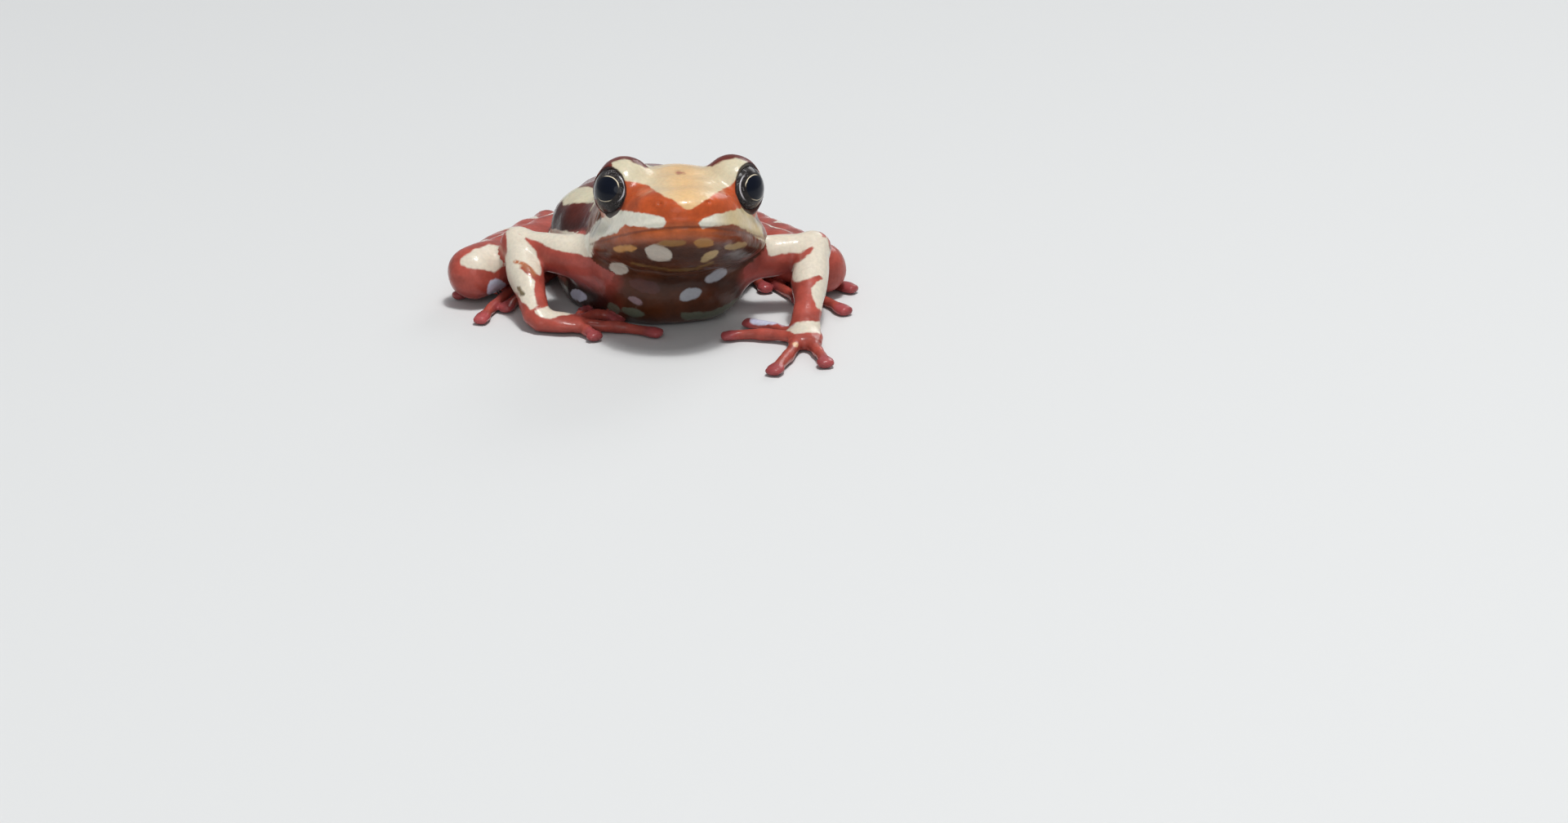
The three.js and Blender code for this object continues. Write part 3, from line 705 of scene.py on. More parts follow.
# Pale marks that the photo shows, by pixel. Row: name, parts, colour, strength, shape.
ARM_RIGHT = ("upper_arm_right", "forearm_right", "trunk")
ARM_LEFT = ("upper_arm_left", "forearm_left", "trunk")
LEG_RIGHT = ("thigh_right", "shank_right", "foot_right", "tarsus_right")
CORE = ("head", "trunk")
MARKS = [
    ("head_patch", ("head",), CREAM, 1, outline(
        (751, 198), (767, 193), (783, 199), (792, 204), (813, 201), (820, 190), (850, 190), (857, 201),
        (874, 204), (886, 197), (903, 193), (917, 197), (920, 202), (905, 217), (901, 223), (884, 233),
        (868, 243), (856, 251), (849, 255.5), (841, 255), (831, 247), (807, 235), (795, 226), (777, 221),
        (767, 220), (761, 211), (752, 203),
    )),
    ("lip_stripe_right", CORE, LIP_CREAM, 1, outline(
        (817, 271), (814, 266), (807, 263), (781, 259), (763, 256), (748, 258), (742, 264), (732, 270),
        (724, 284), (712, 290), (706, 300), (716, 314), (727, 313), (727, 297), (738, 289), (756, 284),
        (767, 274), (788, 277), (807, 279.5), (814, 277),
    )),
    ("lip_stripe_left", CORE, LIP_CREAM, 1, outline(
        (857, 273), (862, 268), (877, 262), (893, 259), (909, 254), (918, 258), (930, 271), (935, 278),
        (938, 296), (928, 291), (914, 281), (899, 273.5), (876, 277), (862, 279),
    )),
    ("chin_spot_side", CORE, OCHRE, 0.9, oval((767, 303), (15, 4))),
    ("chin_smear", CORE, OLIVE, 0.85, oval((824, 297), (17, 4.5), 3)),
    ("chin_spot", CORE, OCHRE * 0.8, 0.9, oval((863, 296.5), (12, 5.5), 0)),
    ("chin_spot_low", CORE, TAN, 1, oval((870, 313), (12, 5), 27)),
    ("chin_mark", CORE, TAN, 0.75, oval((902, 301), (14, 4), 10)),
    ("chin_blotch", CORE, GREY_WHITE, 1, oval((808, 309), (17, 10), -12)),
    ("throat_spot_side", CORE, GREY_WHITE, 1, oval((759, 327.5), (12, 7), -12)),
    ("throat_spot", CORE, BLUE_GREY, 1, oval((878, 337), (15, 6), 26)),
    ("breast_spot", CORE, BLUE_GREY, 1, oval((846, 359.5), (13.5, 7), 18)),
    ("breast_smear", CORE, PURPLE_GREY, 0.22, oval((791, 349), (20, 8), -15)),
    ("breast_spot_low", CORE, PURPLE_GREY + 0.12, 0.9, oval((778.5, 367), (10, 3.6), -25)),
    ("belly_spot_side", CORE, GREEN_GREY, 0.8, oval((752, 376), (9, 5.5), -35)),
    ("belly_spot_low", CORE, GREEN_GREY, 0.8, oval((776, 381), (15, 5), -12)),
    ("belly_edge", CORE, GREEN_GREY, 0.8, band(
        4.5, (838, 386), (864, 386), (886, 380), (908, 367), (931, 350),
    )),
    ("flank_mottle", CORE, GREEN_GREY, 0.45, band(3.5, (684, 333), (694, 345), (690, 362), (700, 374))),
    ("flank_mottle_high", CORE, GREEN_GREY, 0.35, oval((716, 340), (8, 5), -30)),
    ("flank_spot", CORE, BLUE_WHITE, 0.75, oval((709.5, 360), (10, 6.5), -25)),
    ("flank_smear", CORE, PURPLE_GREY, 0.4, oval((953, 358), (14, 11))),
    # Painted highlight along the edge of the throat's fold
    ("throat_fold", CORE, FOLD_HIGHLIGHT, 0.6, band(
        1.3, (775, 321), (800, 326), (829, 330.5), (855, 328), (874, 321),
    )),
    ("lower_lid_right", ("head",), LID_PINK, 0.9, band(
        1.2, (730, 243), (735, 249), (740, 256), (743, 263),
    )),
    ("back_stripe_seen", ("trunk",), CREAM, 1, outline(
        (692, 249), (690, 243), (696, 234), (706, 228), (722, 226), (735, 232), (735, 247), (705, 247),
    )),
    ("upper_arm_top_right", ARM_RIGHT, LIMB_CREAM, 1, outline(
        (616, 268), (642, 268), (662, 275), (690, 280), (706, 283), (723, 288), (723, 313), (706, 308.5),
        (689, 306), (675, 302), (663.5, 295), (652, 291), (638, 285), (628, 282),
    )),
    ("forearm_high_right", ARM_RIGHT, LIMB_CREAM, 1, outline(
        (621, 278), (637, 284), (647, 293), (658, 306), (664, 326), (663, 335), (652, 330), (641, 322),
        (632, 330), (634, 342), (622, 345), (620, 336), (621, 313), (622, 296),
    )),
    ("forearm_low_right", ARM_RIGHT, LIMB_CREAM, 1, outline(
        (622, 336), (632, 327), (640, 328), (656.5, 341), (655, 361), (661, 372), (651, 377), (641, 368),
        (633, 357), (624, 351),
    )),
    ("wrist_right", ("forearm_right", "hand_right"), LIMB_CREAM, 1, outline(
        (652, 379), (662, 376), (675, 372), (689, 373.5), (704, 382), (689, 384), (675, 389), (663, 386),
    )),
    ("upper_arm_top_left", ARM_LEFT, LIMB_CREAM, 1, outline(
        (943, 314), (936, 292), (948, 270), (1000, 274), (1010, 295), (994, 303), (981, 309.5), (967, 309.5),
        (954, 312),
    )),
    ("forearm_high_left", ARM_LEFT, LIMB_CREAM, 1, outline(
        (974, 323), (994, 311), (1000, 296), (1014, 290), (1026, 345), (1026, 385), (1012, 385), (1002, 378),
        (996, 366), (994, 352), (1002, 346), (1009, 341), (1005, 337), (995, 340), (980, 345), (974, 346),
        (970, 335),
    )),
    ("wrist_left", ("forearm_left", "hand_left"), LIMB_CREAM, 1, outline(
        (964, 405), (975, 395), (989, 393.5), (1009, 394), (1005, 409), (989, 406), (974, 409),
    )),
    ("knuckle_dot_left", ("hand_left",), OCHRE + 0.15, 1, oval((975, 421.5), (3.5, 2.6))),
    ("knee_top_right", LEG_RIGHT, LIMB_CREAM, 1, outline(
        (565, 315), (582, 303), (602, 297), (618, 300), (618, 323), (607, 331.5), (593, 327), (576, 326),
        (567, 321),
    )),
    ("knee_spot_right", ("thigh_right", "shank_right"), BLUE_WHITE, 1, oval((610, 352), (12.5, 12.5))),
    ("finger_patch_left", ("hand_left", "foot_left"), BLUE_WHITE, 0.9, oval((937, 392.5), (18, 5.5))),
    ("finger_patch_low_left", ("hand_left", "foot_left"), BLUE_WHITE, 0.8, oval((964, 394.5), (10, 4.5), 8)),
]

# Dark marks inside the pale ones. Row: name, parts, colour, shape.
HOLES = [
    ("forearm_mole", ARM_RIGHT, MOLE_OLIVE, outline(
        (635, 349), (639, 348), (644, 357), (642, 361), (638, 359),
    )),
    ("forearm_dot", ARM_RIGHT, DOT_ORANGE, band(2.4, (632, 318), (643, 321), (655, 331))),
    ("head_dot", ("head",), HEAD_DOT_PINK, oval((835, 210.5), (6, 1.6))),
]

# How far back in the head's axes a mark may reach, and the half width of the head's patch there
NO_LIMIT = 20
FURTHEST_BACK = {"head_dot": 1.5, "head_patch": 4.2, "lip_stripe_right": 4.6, "lip_stripe_left": 3.4}
PATCH_HALF_WIDTH = ((0.4, 1.3, 2.6, 4.0), (3.6, 1.9, 1.0, 0.75))
HEAD_EDGE_PIXEL = 745
MARK_BLEND = 0.05

# Painted shade: soft darker places of the head and trunk, where the jaw, the head and the arms shade them.
# Row: colour, strength, shape.
PAINTED_SHADES = [
    (SHADOW_BROWN, 0.6, oval((907, 311), (24, 9), 18)),
    (SHADOW_BROWN, 0.75, oval((703, 350), (30, 30))),
    (SHADOW_BROWN, 0.6, oval((930, 350), (30, 22))),
    (SHADOW_BROWN, 0.5, oval((845, 345), (55, 9))),
    (JAW_BROWN, 0.45, oval((905, 290), (26, 6), -14)),
    (SHADOW_BROWN, 0.3, oval((835, 306), (70, 14))),
]


# Marks that the photo doesn't show, from the species
def back_marks(points, normals, parts):
    """Depth, in millimetres, inside the three long stripes of the back."""
    x, y, z = points.T
    in_head = to_head(points)
    half = np.interp(y, (0.5, 3.0, 6.0, 15.5), (0.95, 0.62, 0.5, 0.32))
    middle_line = -0.2 + 0.25 * np.sin(y * 0.45) * smooth_step(1, 4, y) - 0.25 * smooth_step(3, 0, y)
    middle = half - np.abs(x - middle_line)
    middle = np.minimum(middle, (normals[:, 2] - 0.25) * 3)
    middle = np.minimum(middle, (in_head[:, 1] - 1.2) * 0.4)
    angle = np.arctan2(np.abs(x + 0.2), z - 1.6)
    line = np.radians(np.interp(y, (1.5, 5, 10, 14), (40, 47, 62, 80)))
    aside = 0.34 - np.abs(angle - line) * np.interp(y, (1.5, 6, 14), (4.2, 4.2, 2.6))
    aside = np.minimum(aside, np.minimum(y - 0.8, 13.6 - y))
    return np.where(np.isin(parts, CORE), np.maximum(middle, aside), -FAR)


# Blotches of the limbs. Row: parts, share of the length, how far round from the top, size in millimetres.
BLOTCHES = [
    ("thigh", 0.3, 0.2, 1.0), ("thigh", 0.68, -0.3, 0.8),
    ("shank", 0.2, 0.4, 0.75), ("shank", 0.5, -0.2, 0.8), ("shank", 0.82, 0.3, 0.6),
    ("tarsus", 0.3, 0.0, 0.5), ("tarsus", 0.75, 0.3, 0.42),
    ("forearm", 0.45, 2.6, 0.7), ("upper_arm", 0.55, 0.0, 0.9),
]


def limb_blotches(points, found, parts):
    depth = np.full(len(points), -FAR)
    for side, way in WAYS.items():
        for kind, share, round_angle, size in BLOTCHES:
            tube = TUBES[kind, side][0]
            here = np.flatnonzero((parts == f"{kind}_{side}") & (found[kind, side] < 0.8))
            if not len(here):
                continue
            at, offset, scales = tube.place_of(points[here])
            length = np.linalg.norm(tube.line[-1] - tube.line[0])
            turn = np.arctan2(offset[:, 0] * way, offset[:, 1]) - round_angle
            turn = np.abs((turn + math.pi) % (2 * math.pi) - math.pi) * scales[:, :2].mean(axis=1)
            along = np.abs(at - share) * length
            depth[here] = np.maximum(depth[here], size - np.hypot(along, turn * 0.8))
    return depth


def part_names(found):
    """The name of the part that each point belongs to."""
    names = ["head", "trunk"]
    rows = [np.minimum.reduce([found["head"], found["lid", "right"], found["lid", "left"]]), found["trunk"]]
    for side in LIMBS:
        for kind in ("upper_arm", "forearm", "thigh", "shank", "tarsus"):
            names.append(f"{kind}_{side}")
            rows.append(found[kind, side])
        names += [f"hand_{side}", f"foot_{side}"]
        rows.append(np.minimum(found["palm", side], found["finger", side]))
        rows.append(np.minimum(found["sole", side], found["toe", side]))
    return np.array(names)[np.argmin(rows, axis=0)]


def blended(one, other, share):
    share = np.asarray(share)[:, None]
    return one * (1 - share) + other * share


def ground_colours(points, normals, found, parts):
    """The skin's colour between its pale marks."""
    in_head = to_head(points)
    left, back, up = in_head.T
    pixels = pixels_of(points)
    ground = np.tile(DORSUM, (len(points), 1))
    head = parts == "head"
    core = np.isin(parts, CORE)

    trunk = parts == "trunk"
    aside = np.abs(left)
    face = smooth_step(1.0, -0.4, back) * head
    brow = face * smooth_step(0.75, 1.0, up) * smooth_step(0.7, 1.3, aside)
    cheek = smooth_step(-0.2, 0.9, back) * smooth_step(0.4, -0.2, up) * head
    lip = smooth_step(-1.42, -1.8, up) * smooth_step(2.6, 1.2, back) * head
    layers = [
        (WINE, smooth_step(0.75, 0.3, normals[:, 2]) * trunk),
        (SNOUT_RED, face), (DORSUM, brow), (CHEEK_BROWN, cheek), (LIP_BROWN, lip),
        (JAW_BROWN, lip * smooth_step(0.5, 2.6, left) * 0.8),
        (JAW_BROWN, lip * smooth_step(2.4, 3.6, aside) * 0.5),
    ]

    below = smooth_step(-2.0, -2.75, up) * head
    front = smooth_step(0.35, 0.75, -normals[:, 1]) * smooth_step(5.6, 4.6, points[:, 2])
    belly = np.maximum(front, smooth_step(0.15, 0.6, -normals[:, 2]))
    low = smooth_step(1.5, 0.7, points[:, 2])
    under = np.where(head, below, np.maximum(belly, low)) * core
    across, down = pixels.T
    breast = under * np.maximum(smooth_step(775, 735, across), smooth_step(905, 935, across))
    breast = breast * smooth_step(318, 332, down) * smooth_step(385, 360, down)
    # Painted shadow: the trunk's flanks under both arms, in the shadow brown
    shaded = smooth_step(760, 735, across) + smooth_step(915, 930, across)
    shaded *= smooth_step(5.0, 3.4, points[:, 2]) * smooth_step(9.5, 7.0, points[:, 1]) * trunk
    layers += [(THROAT_BROWN, under), (BREAST_RED, breast * 0.75), (SHADOW_BROWN, shaded * 0.85)]
    # Painted shade under the jaw, the head and the arms, from the list above
    for tint, strength, shape in PAINTED_SHADES:
        layers.append((tint, smooth_step(-0.25, 0.25, shape(pixels) * PIXEL) * core * strength))
    for side in LIMBS:
        root = smooth_step(0.55, 0.1, found["upper_arm", side]) * trunk
        layers.append((LIMB_RED * 0.8, root * smooth_step(4.6, 3.8, points[:, 2])))

    layers.append((LIMB_RED, ~core))
    for side in LIMBS:
        armpit = bell(found["trunk"], 0.9) * (parts == f"upper_arm_{side}")
        digits = np.isin(parts, (f"hand_{side}", f"foot_{side}"))
        tips = np.zeros(len(points))
        for tube in TUBES["finger", side] + TUBES["toe", side]:
            away = np.linalg.norm(points - tube.line[-1], axis=1)
            tips = np.maximum(tips, smooth_step(0.8, 0.4, away))
        layers += [(LIMB_PINK, armpit * 0.6), (TIP_PURPLE, tips * digits * 0.8)]
    for tint, share in layers:
        ground = blended(ground, tint, share)
    # Painted shade: the limbs darker and redder where they face down
    shade = smooth_step(0.1, 0.8, -normals[:, 2]) * ~core
    return blended(ground, ground * (0.8, 0.62, 0.66), shade)


def painted(points, normals):
    """Ground colour, mark colour, depth inside the marks and their strength, for each point of the skin."""
    found = part_distances(points)
    parts = part_names(found)
    pixels = pixels_of(points)
    to_camera = CAMERA_PLACE - points
    to_camera /= np.linalg.norm(to_camera, axis=1, keepdims=True)
    facing = (normals * to_camera).sum(axis=1)
    seen_limit = (facing + 0.3) * 1.6
    core = np.isin(parts, CORE)
    in_head = to_head(points)

    ground = ground_colours(points, normals, found, parts)
    beside_head = (pixels[:, 0] < HEAD_EDGE_PIXEL) & (points[:, 0] < -1)
    seen = (facing > 0.12) & (~core | beside_head)
    hidden = np.maximum(back_marks(points, normals, parts), limb_blotches(points, found, parts))
    depths = [np.where(seen, np.minimum(hidden, 0.3 - facing * 2.5), hidden)]
    colours = [np.where(core[:, None], CREAM, LIMB_CREAM)]
    strengths = [1.0]
    for name, on, tint, strength, shape in MARKS:
        depth = np.minimum(shape(pixels) * PIXEL, seen_limit)
        depth = np.minimum(depth, (FURTHEST_BACK.get(name, NO_LIMIT) - in_head[:, 1]) * 0.7)
        tints = np.tile(tint, (len(points), 1))
        if name == "head_patch":
            half_width = np.interp(in_head[:, 1], *PATCH_HALF_WIDTH)
            depth = np.minimum(depth, half_width - np.abs(in_head[:, 0]))
            warm = bell(in_head[:, 0] - 0.15, 1.3) * smooth_step(3.0, 1.2, in_head[:, 1])
            tints = blended(tints, WARM_CREAM, warm)
        if name == "lip_stripe_left":
            tints = blended(tints, DULL_CREAM, smooth_step(868, 900, pixels[:, 0]) * 0.85)
        depths.append(np.where(np.isin(parts, on), depth, -FAR))
        colours.append(tints)
        strengths.append(strength)
    depths = np.array(depths)
    weights = np.exp(np.clip((depths - depths.max(axis=0)) / MARK_BLEND, -30, 0))
    weights /= weights.sum(axis=0)
    patch = np.einsum("mn,mnc->nc", weights, np.array(colours))
    strength = np.einsum("mn,m->n", weights, np.array(strengths))
    edge = depths.max(axis=0)
    for name, on, tint, shape in HOLES:
        near = (facing > 0) & (in_head[:, 1] < FURTHEST_BACK.get(name, NO_LIMIT))
        depth = np.where(np.isin(parts, on) & near, shape(pixels) * PIXEL, -FAR)
        ground = blended(ground, tint, smooth_step(-0.15, -0.02, depth))
        edge = np.minimum(edge, -depth)
    return ground, patch, edge, strength


# Making Blender objects. The frog's axes are shifted to the part's own.
def eye_shift():
    centres = [(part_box(f"eye_{side}")[0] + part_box(f"eye_{side}")[1]) / 2 for side in LIMBS]
    middle = np.array((centres[0] + centres[1]) / 2) / METRES
    in_head = HEAD_AXES @ np.array([0, EYE_PLACE[1], EYE_PLACE[2]])
    return middle - EYE_MIDDLE - in_head


SHIFT = eye_shift()


def part_frame(points):
    return (np.asarray(points) + SHIFT) * METRES


def linked(name, data):
    made = bpy.data.objects.new(name, data)
    bpy.context.scene.collection.objects.link(made)
    return made


def new_object(name, points, faces):
    mesh = bpy.data.meshes.new(name)
    mesh.from_pydata(part_frame(points), [], faces)
    mesh.update()
    mesh.shade_smooth()
    return linked(name, mesh)


def add_numbers(mesh, name, values):
    mesh.attributes.new(name, "FLOAT", "POINT").data.foreach_set("value", np.asarray(values, np.float32))


def add_colours(mesh, name, colours):
    rows = np.ones((len(colours), 4), np.float32)
    rows[:, :3] = colours
    mesh.attributes.new(name, "FLOAT_COLOR", "POINT").data.foreach_set("color", rows.ravel())


# Materials
class Shader:
    """A material's node tree, with short ways to add nodes and read their outputs."""

    def __init__(self, name):
        self.material = bpy.data.materials.new(name)
        self.material.use_nodes = True
        self.tree = self.material.node_tree
        self.surface = self.tree.nodes["Principled BSDF"]
        self.place = self.tree.nodes.new("ShaderNodeTexCoord").outputs["Object"]

    def node(self, kind, sockets, **settings):
        made = self.tree.nodes.new("ShaderNode" + kind)
        for name, value in settings.items():
            setattr(made, name, value)
        for name, value in sockets.items():
            self.put(made.inputs[name], value)
        return made

    def put(self, socket, value):
        if isinstance(value, bpy.types.NodeSocket):
            self.tree.links.new(value, socket)
        else:
            socket.default_value = value

    def number(self, name):
        return self.node("Attribute", {}, attribute_name=name).outputs["Fac"]

    def colours(self, name):
        return self.node("Attribute", {}, attribute_name=name).outputs["Color"]

    def math(self, operation, one, other=0.0, third=0.0):
        return self.node("Math", {0: one, 1: other, 2: third}, operation=operation).outputs[0]

    def times(self, one, other):
        return self.math("MULTIPLY", one, other)

    def gap(self, value, middle):
        return self.math("ABSOLUTE", self.math("SUBTRACT", value, middle))

    def noise(self, size, detail=2.0, roughness=0.5):
        sockets = {"Vector": self.place, "Scale": 1 / (size * METRES)}
        sockets.update({"Detail": detail, "Roughness": roughness})
        return self.node("TexNoise", sockets).outputs["Fac"]

    def grains(self, size):
        sockets = {"Vector": self.place, "Scale": 1 / (size * METRES)}
        return self.node("TexVoronoi", sockets, feature="SMOOTH_F1").outputs["Distance"]

    def ramp(self, value, low, high, start=0.0, end=1.0):
        sockets = {"Value": value, "From Min": low, "From Max": high, "To Min": start, "To Max": end}
        return self.node("MapRange", sockets, interpolation_type="SMOOTHSTEP").outputs["Result"]

    def mix(self, share, one, other, blend="MIX"):
        made = self.tree.nodes.new("ShaderNodeMix")
        made.data_type = "RGBA"
        made.blend_type = blend
        self.put(made.inputs["Factor"], share)
        self.put(made.inputs[6], one)
        self.put(made.inputs[7], other)
        return made.outputs[2]

    def finish(self, surface):
        for name, value in surface.items():
            self.put(self.surface.inputs[name], value)
        return self.material


def skin_material():
    shader = Shader("moist_skin")
    wander = shader.math("MULTIPLY_ADD", shader.noise(0.45, 2.0), 0.2, -0.1)
    edge = shader.math("ADD", shader.number("edge"), wander)
    mask = shader.ramp(edge, -0.05, 0.05)
    mask = shader.times(mask, shader.number("strength"))
    cloudy = shader.ramp(shader.noise(0.9, 4.0), 0.3, 0.7, 0.78, 1.16)
    ground = shader.mix(1.0, shader.colours("ground"), cloudy, "MULTIPLY")
    grainy = shader.ramp(shader.noise(0.16, 2.0), 0.3, 0.7, 0.95, 1.04)
    tinted = shader.mix(mask, ground, shader.colours("patch"))
    tinted = shader.mix(1.0, tinted, grainy, "MULTIPLY")
    wobble = shader.math("MULTIPLY_ADD", shader.noise(0.3), 0.06, -0.03)
    # Painted shade: a darker line along the mouth's slit
    gap = shader.math("ABSOLUTE", shader.math("ADD", shader.number("mouth"), wobble))
    tinted = shader.mix(shader.ramp(gap, 0.09, 0.015, 0.0, 0.6), tinted, (*MOUTH_SLIT_SHADE, 1))
    margin = shader.math("ADD", shader.number("margin"), wobble)
    tinted = shader.mix(shader.ramp(margin, 0.09, 0.04, 0.0, 0.9), tinted, (*LID_DARK, 1))
    grains = shader.grains(0.17)
    fine = shader.noise(0.07, 2.0)
    height = shader.math("MULTIPLY_ADD", fine, 0.35, grains)
    bump = shader.node("Bump", {"Height": height, "Strength": 0.26, "Distance": 0.00003})
    rough = shader.ramp(shader.noise(0.35, 3.0), 0.3, 0.7, 0.3, 0.46)
    return shader.finish({
        "Base Color": tinted, "Roughness": rough, "Normal": bump.outputs["Normal"],
        "IOR": 1.28, "Coat Weight": 0.5, "Coat IOR": 1.3, "Coat Roughness": 0.09,
        "Coat Normal": bump.outputs["Normal"],
        "Subsurface Weight": 0.12, "Subsurface Radius": (1.0, 0.35, 0.2), "Subsurface Scale": 0.0004,
    })


PUPIL_HALF_WIDTH = math.radians(29.5)
PUPIL_HALF_HEIGHT = math.radians(25.5)

# Circles of the iris, as a share of the pupil's size, and its colours
RING_REACH = 1.06
SILVER_REACH = 1.46
PUPIL_BLUE = (0.003, 0.005, 0.012, 1)
IRIS_DARK = (0.006, 0.005, 0.006, 1)
IRIS_PALE = (0.03, 0.024, 0.022, 1)
FLECK_GREY = (0.36, 0.34, 0.34, 1)
RIM_SILVER = (0.62, 0.6, 0.62, 1)
RING_GOLD = (0.78, 0.68, 0.5, 1)


def eye_material():
    shader = Shader("wet_eye")
    ahead = shader.number("gaze_across")
    upward = shader.number("gaze_up")
    wide = shader.math("DIVIDE", ahead, PUPIL_HALF_WIDTH)
    high = shader.math("DIVIDE", upward, PUPIL_HALF_HEIGHT)
    squares = shader.math("MULTIPLY_ADD", wide, wide, shader.times(high, high))
    reach = shader.math("SQRT", squares)
    wobble = shader.math("MULTIPLY_ADD", shader.noise(0.25, 3.0), 0.1, -0.05)
    reach = shader.math("ADD", reach, wobble)
    around = shader.math("ARCTAN2", high, wide)
    outside = shader.ramp(reach, 0.97, 1.02)

    top = shader.ramp(shader.gap(around, 0.95), 1.0, 0.5)
    bottom = shader.ramp(shader.gap(around, -1.75), 0.75, 0.35)
    arcs = shader.math("MAXIMUM", top, shader.times(bottom, 0.6))
    ring = shader.times(shader.ramp(shader.gap(reach, RING_REACH), 0.055, 0.015), arcs)
    medial = shader.ramp(shader.gap(around, 0.0), 1.0, 0.5)
    rim = shader.times(shader.ramp(shader.gap(reach, SILVER_REACH), 0.08, 0.02), medial)
    veins = shader.ramp(shader.gap(shader.noise(0.13, 2.0, 0.6), 0.5), 0.03, 0.008)
    veins = shader.times(veins, shader.ramp(shader.noise(0.3, 2.0), 0.42, 0.58))
    veins = shader.times(veins, shader.ramp(shader.gap(around, 0.9), 1.5, 0.4, 0.35, 1.0))
    flecks = shader.times(veins, shader.ramp(reach, 1.12, 1.25))
    flecks = shader.times(flecks, shader.ramp(reach, 2.3, 2.0))

    iris = shader.mix(shader.noise(0.2, 3.0), IRIS_DARK, IRIS_PALE)
    iris = shader.mix(shader.times(flecks, 0.8), iris, FLECK_GREY)
    iris = shader.mix(shader.times(rim, 0.85), iris, RIM_SILVER)
    iris = shader.mix(ring, iris, RING_GOLD)
    tinted = shader.mix(outside, PUPIL_BLUE, iris)
    return shader.finish({
        "Base Color": tinted, "Roughness": 0.35, "IOR": 1.3, "Specular IOR Level": 0.2,
        "Coat Weight": 1.0, "Coat IOR": 1.22, "Coat Roughness": 0.02,
    })


EYE_RINGS = 56
EYE_SPOKES = 96
CORNEA_BULGE = 0.035
CORNEA_EDGE = math.radians(48)
CORNEA_TOP = math.radians(10)


def add_eye(side, way, material):
    """A whole eyeball with its front bulged, in rings round the way it looks."""
    rings, spokes = EYE_RINGS, EYE_SPOKES
    sideways_angle, up_angle = GAZE[side]
    level = eye_axis(way, sideways_angle)
    forward = level * math.cos(up_angle) + UP * math.sin(up_angle)
    upward = UP * math.cos(up_angle) - level * math.sin(up_angle)
    medial = np.cross(upward, forward) * way
    medial *= -np.sign(medial[0]) * way
    angles = np.linspace(0, math.pi, rings + 1)[1:-1]
    turns = np.arange(spokes) / spokes * 2 * math.pi
    angle, turn = (grid.ravel() for grid in np.meshgrid(angles, turns, indexing="ij"))
    across = np.concatenate([[0], angle * np.cos(turn), [math.pi]])
    raised = np.concatenate([[0], angle * np.sin(turn), [0]])
    tilt = np.concatenate([[0], angle, [math.pi]])
    spin = np.concatenate([[0], turn, [0]])
    radius = EYE_RADIUS + CORNEA_BULGE * smooth_step(CORNEA_EDGE, CORNEA_TOP, tilt)
    sideways = medial * (np.sin(tilt) * np.cos(spin))[:, None]
    sideways += upward * (np.sin(tilt) * np.sin(spin))[:, None]
    local = (forward * np.cos(tilt)[:, None] + sideways) * radius[:, None]
    centre = np.array(EYE_PLACE) * (way, 1, 1)
    points = (local + centre) @ HEAD_AXES.T + EYE_MIDDLE
    faces = []
    for spoke in range(spokes):
        after = (spoke + 1) % spokes
        faces.append([0, 1 + spoke, 1 + after])
        last = 1 + (rings - 2) * spokes
        faces.append([last + after, last + spoke, len(points) - 1])
        for ring in range(rings - 2):
            start = 1 + ring * spokes
            faces.append([start + spoke, start + spokes + spoke, start + spokes + after, start + after])
    if np.dot(np.cross(medial, upward), forward) < 0:
        faces = [face[::-1] for face in faces]
    eye = new_object(f"eyeball_{side}", points, faces)
    add_numbers(eye.data, "gaze_across", across)
    add_numbers(eye.data, "gaze_up", raised)
    eye.data.materials.append(material)
    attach(eye, "root")
    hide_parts(f"eye_{side}")


def add_skin():
    points, faces = skin_mesh()
    here = skin_distance(points)
    normals = slope_of(points, here)
    normals /= np.linalg.norm(normals, axis=1, keepdims=True)
    skin = new_object("skin", points, faces)
    ground, patch, edge, strength = painted(points, normals)
    add_colours(skin.data, "ground", ground)
    add_colours(skin.data, "patch", patch)
    add_numbers(skin.data, "edge", edge)
    add_numbers(skin.data, "strength", strength)
    in_head = to_head(points)
    left, back, up = in_head.T
    lips = (back < 2.0) & (up < -1.2)
    add_numbers(skin.data, "mouth", np.where(lips, up - mouth_height(left), FAR))
    add_numbers(skin.data, "margin", lid_margin(in_head))
    skin.data.materials.append(skin_material())
    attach(skin, "root")
    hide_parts(*[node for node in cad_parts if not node.startswith("eye_")])


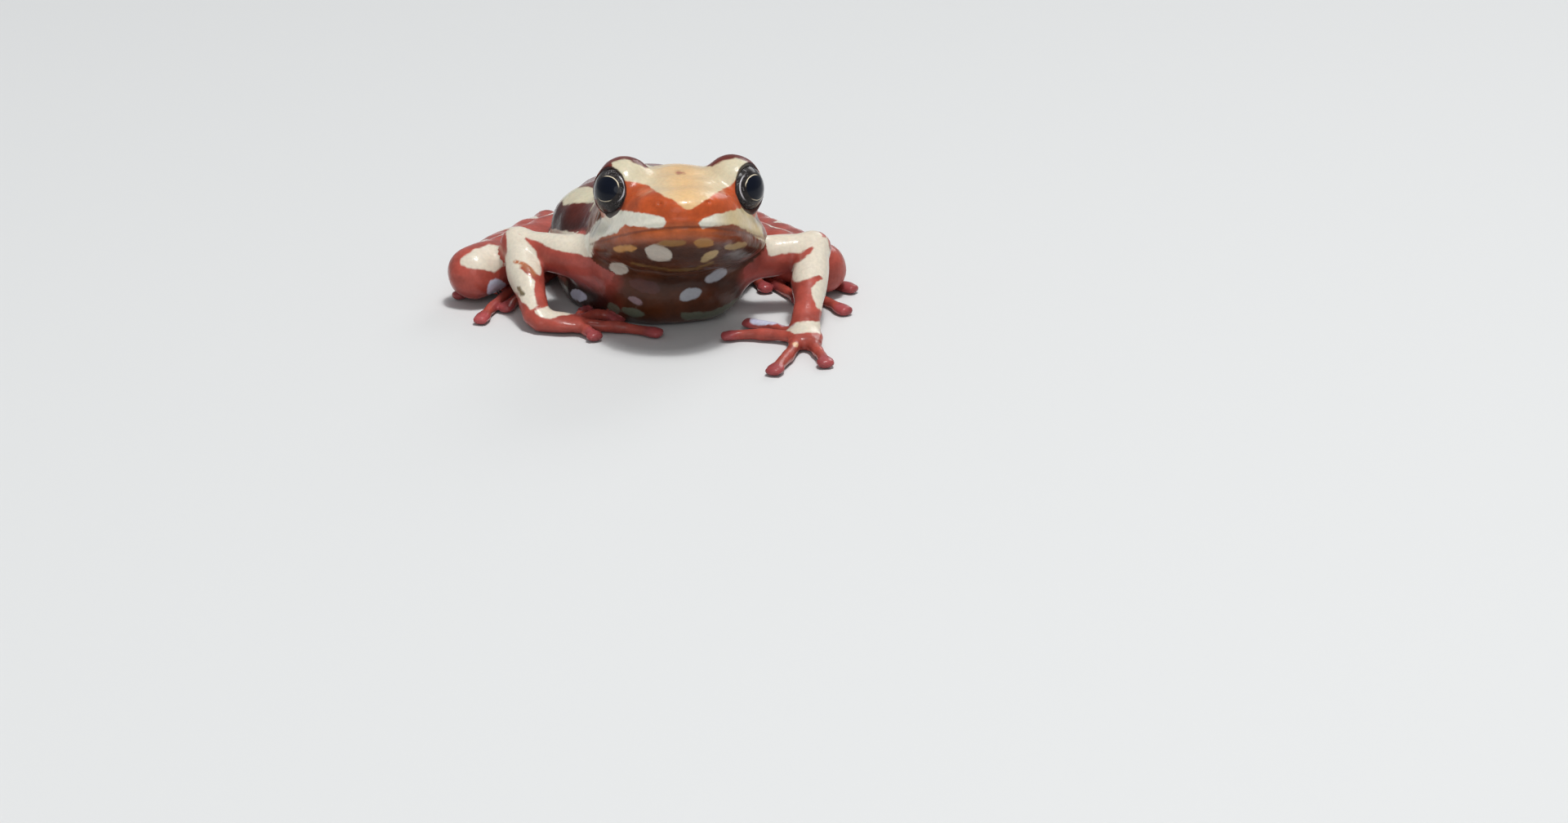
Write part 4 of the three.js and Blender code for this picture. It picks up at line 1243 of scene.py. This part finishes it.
# Camera, floor and light
def add_camera():
    across, down = np.array(FRAME_SIZE) / 2 - EYE_MIDDLE_PIXEL
    aim = EYE_MIDDLE + (VIEW_RIGHT * across - VIEW_UP * down) * PIXEL
    data = bpy.data.cameras.new("camera")
    data.sensor_width = SENSOR_WIDTH
    data.lens = SENSOR_WIDTH * CAMERA_DISTANCE / PIXEL / FRAME_SIZE[0]
    data.clip_start = 0.01
    data.clip_end = 20
    camera = linked("camera", data)
    camera.location = part_frame(CAMERA_PLACE)
    camera.rotation_euler = Vector(aim - CAMERA_PLACE).to_track_quat("-Z", "Y").to_euler()
    bpy.context.scene.camera = camera


FLOOR_HALF = 3.0


def add_floor():
    corners = [(x * FLOOR_HALF, y * FLOOR_HALF, 0) for x, y in ((-1, -1), (1, -1), (1, 1), (-1, 1))]
    mesh = bpy.data.meshes.new("floor")
    mesh.from_pydata(corners, [], [(0, 1, 2, 3)])
    floor = linked("floor", mesh)
    shader = Shader("pale_floor")
    mesh.materials.append(shader.finish({"Base Color": (0.66, 0.665, 0.66, 1), "Roughness": 0.7}))


# Soft lights. Row: place from the frog in metres, size in metres, watts.
LIGHTS = {
    "key_light": ((0.035, -0.075, 0.38), 0.13, 0.72),
    "spark_light": ((0.034, -0.073, 0.37), 0.034, 0.5),
    "front_light": ((-0.14, -0.42, 0.2), 0.3, 0.42),
    "rim_light": ((0.25, 0.3, 0.22), 0.2, 0.3),
}
WORLD_COLOUR = (0.86, 0.9, 0.95, 1)
WORLD_STRENGTH = 0.3


def add_lights():
    for name, (place, size, watts) in LIGHTS.items():
        data = bpy.data.lights.new(name, "AREA")
        data.shape = "DISK"
        data.size = size
        data.energy = watts
        light = linked(name, data)
        light.location = place
        light.rotation_euler = (-Vector(place)).to_track_quat("-Z", "Y").to_euler()
    world = bpy.data.worlds.new("studio")
    world.use_nodes = True
    background = world.node_tree.nodes["Background"]
    background.inputs["Color"].default_value = WORLD_COLOUR
    background.inputs["Strength"].default_value = WORLD_STRENGTH
    bpy.context.scene.world = world
    bpy.context.scene.view_settings.view_transform = "Standard"


add_camera()
add_floor()
add_lights()
add_skin()
eye_look = eye_material()
for eye_side, eye_way in WAYS.items():
    add_eye(eye_side, eye_way, eye_look)
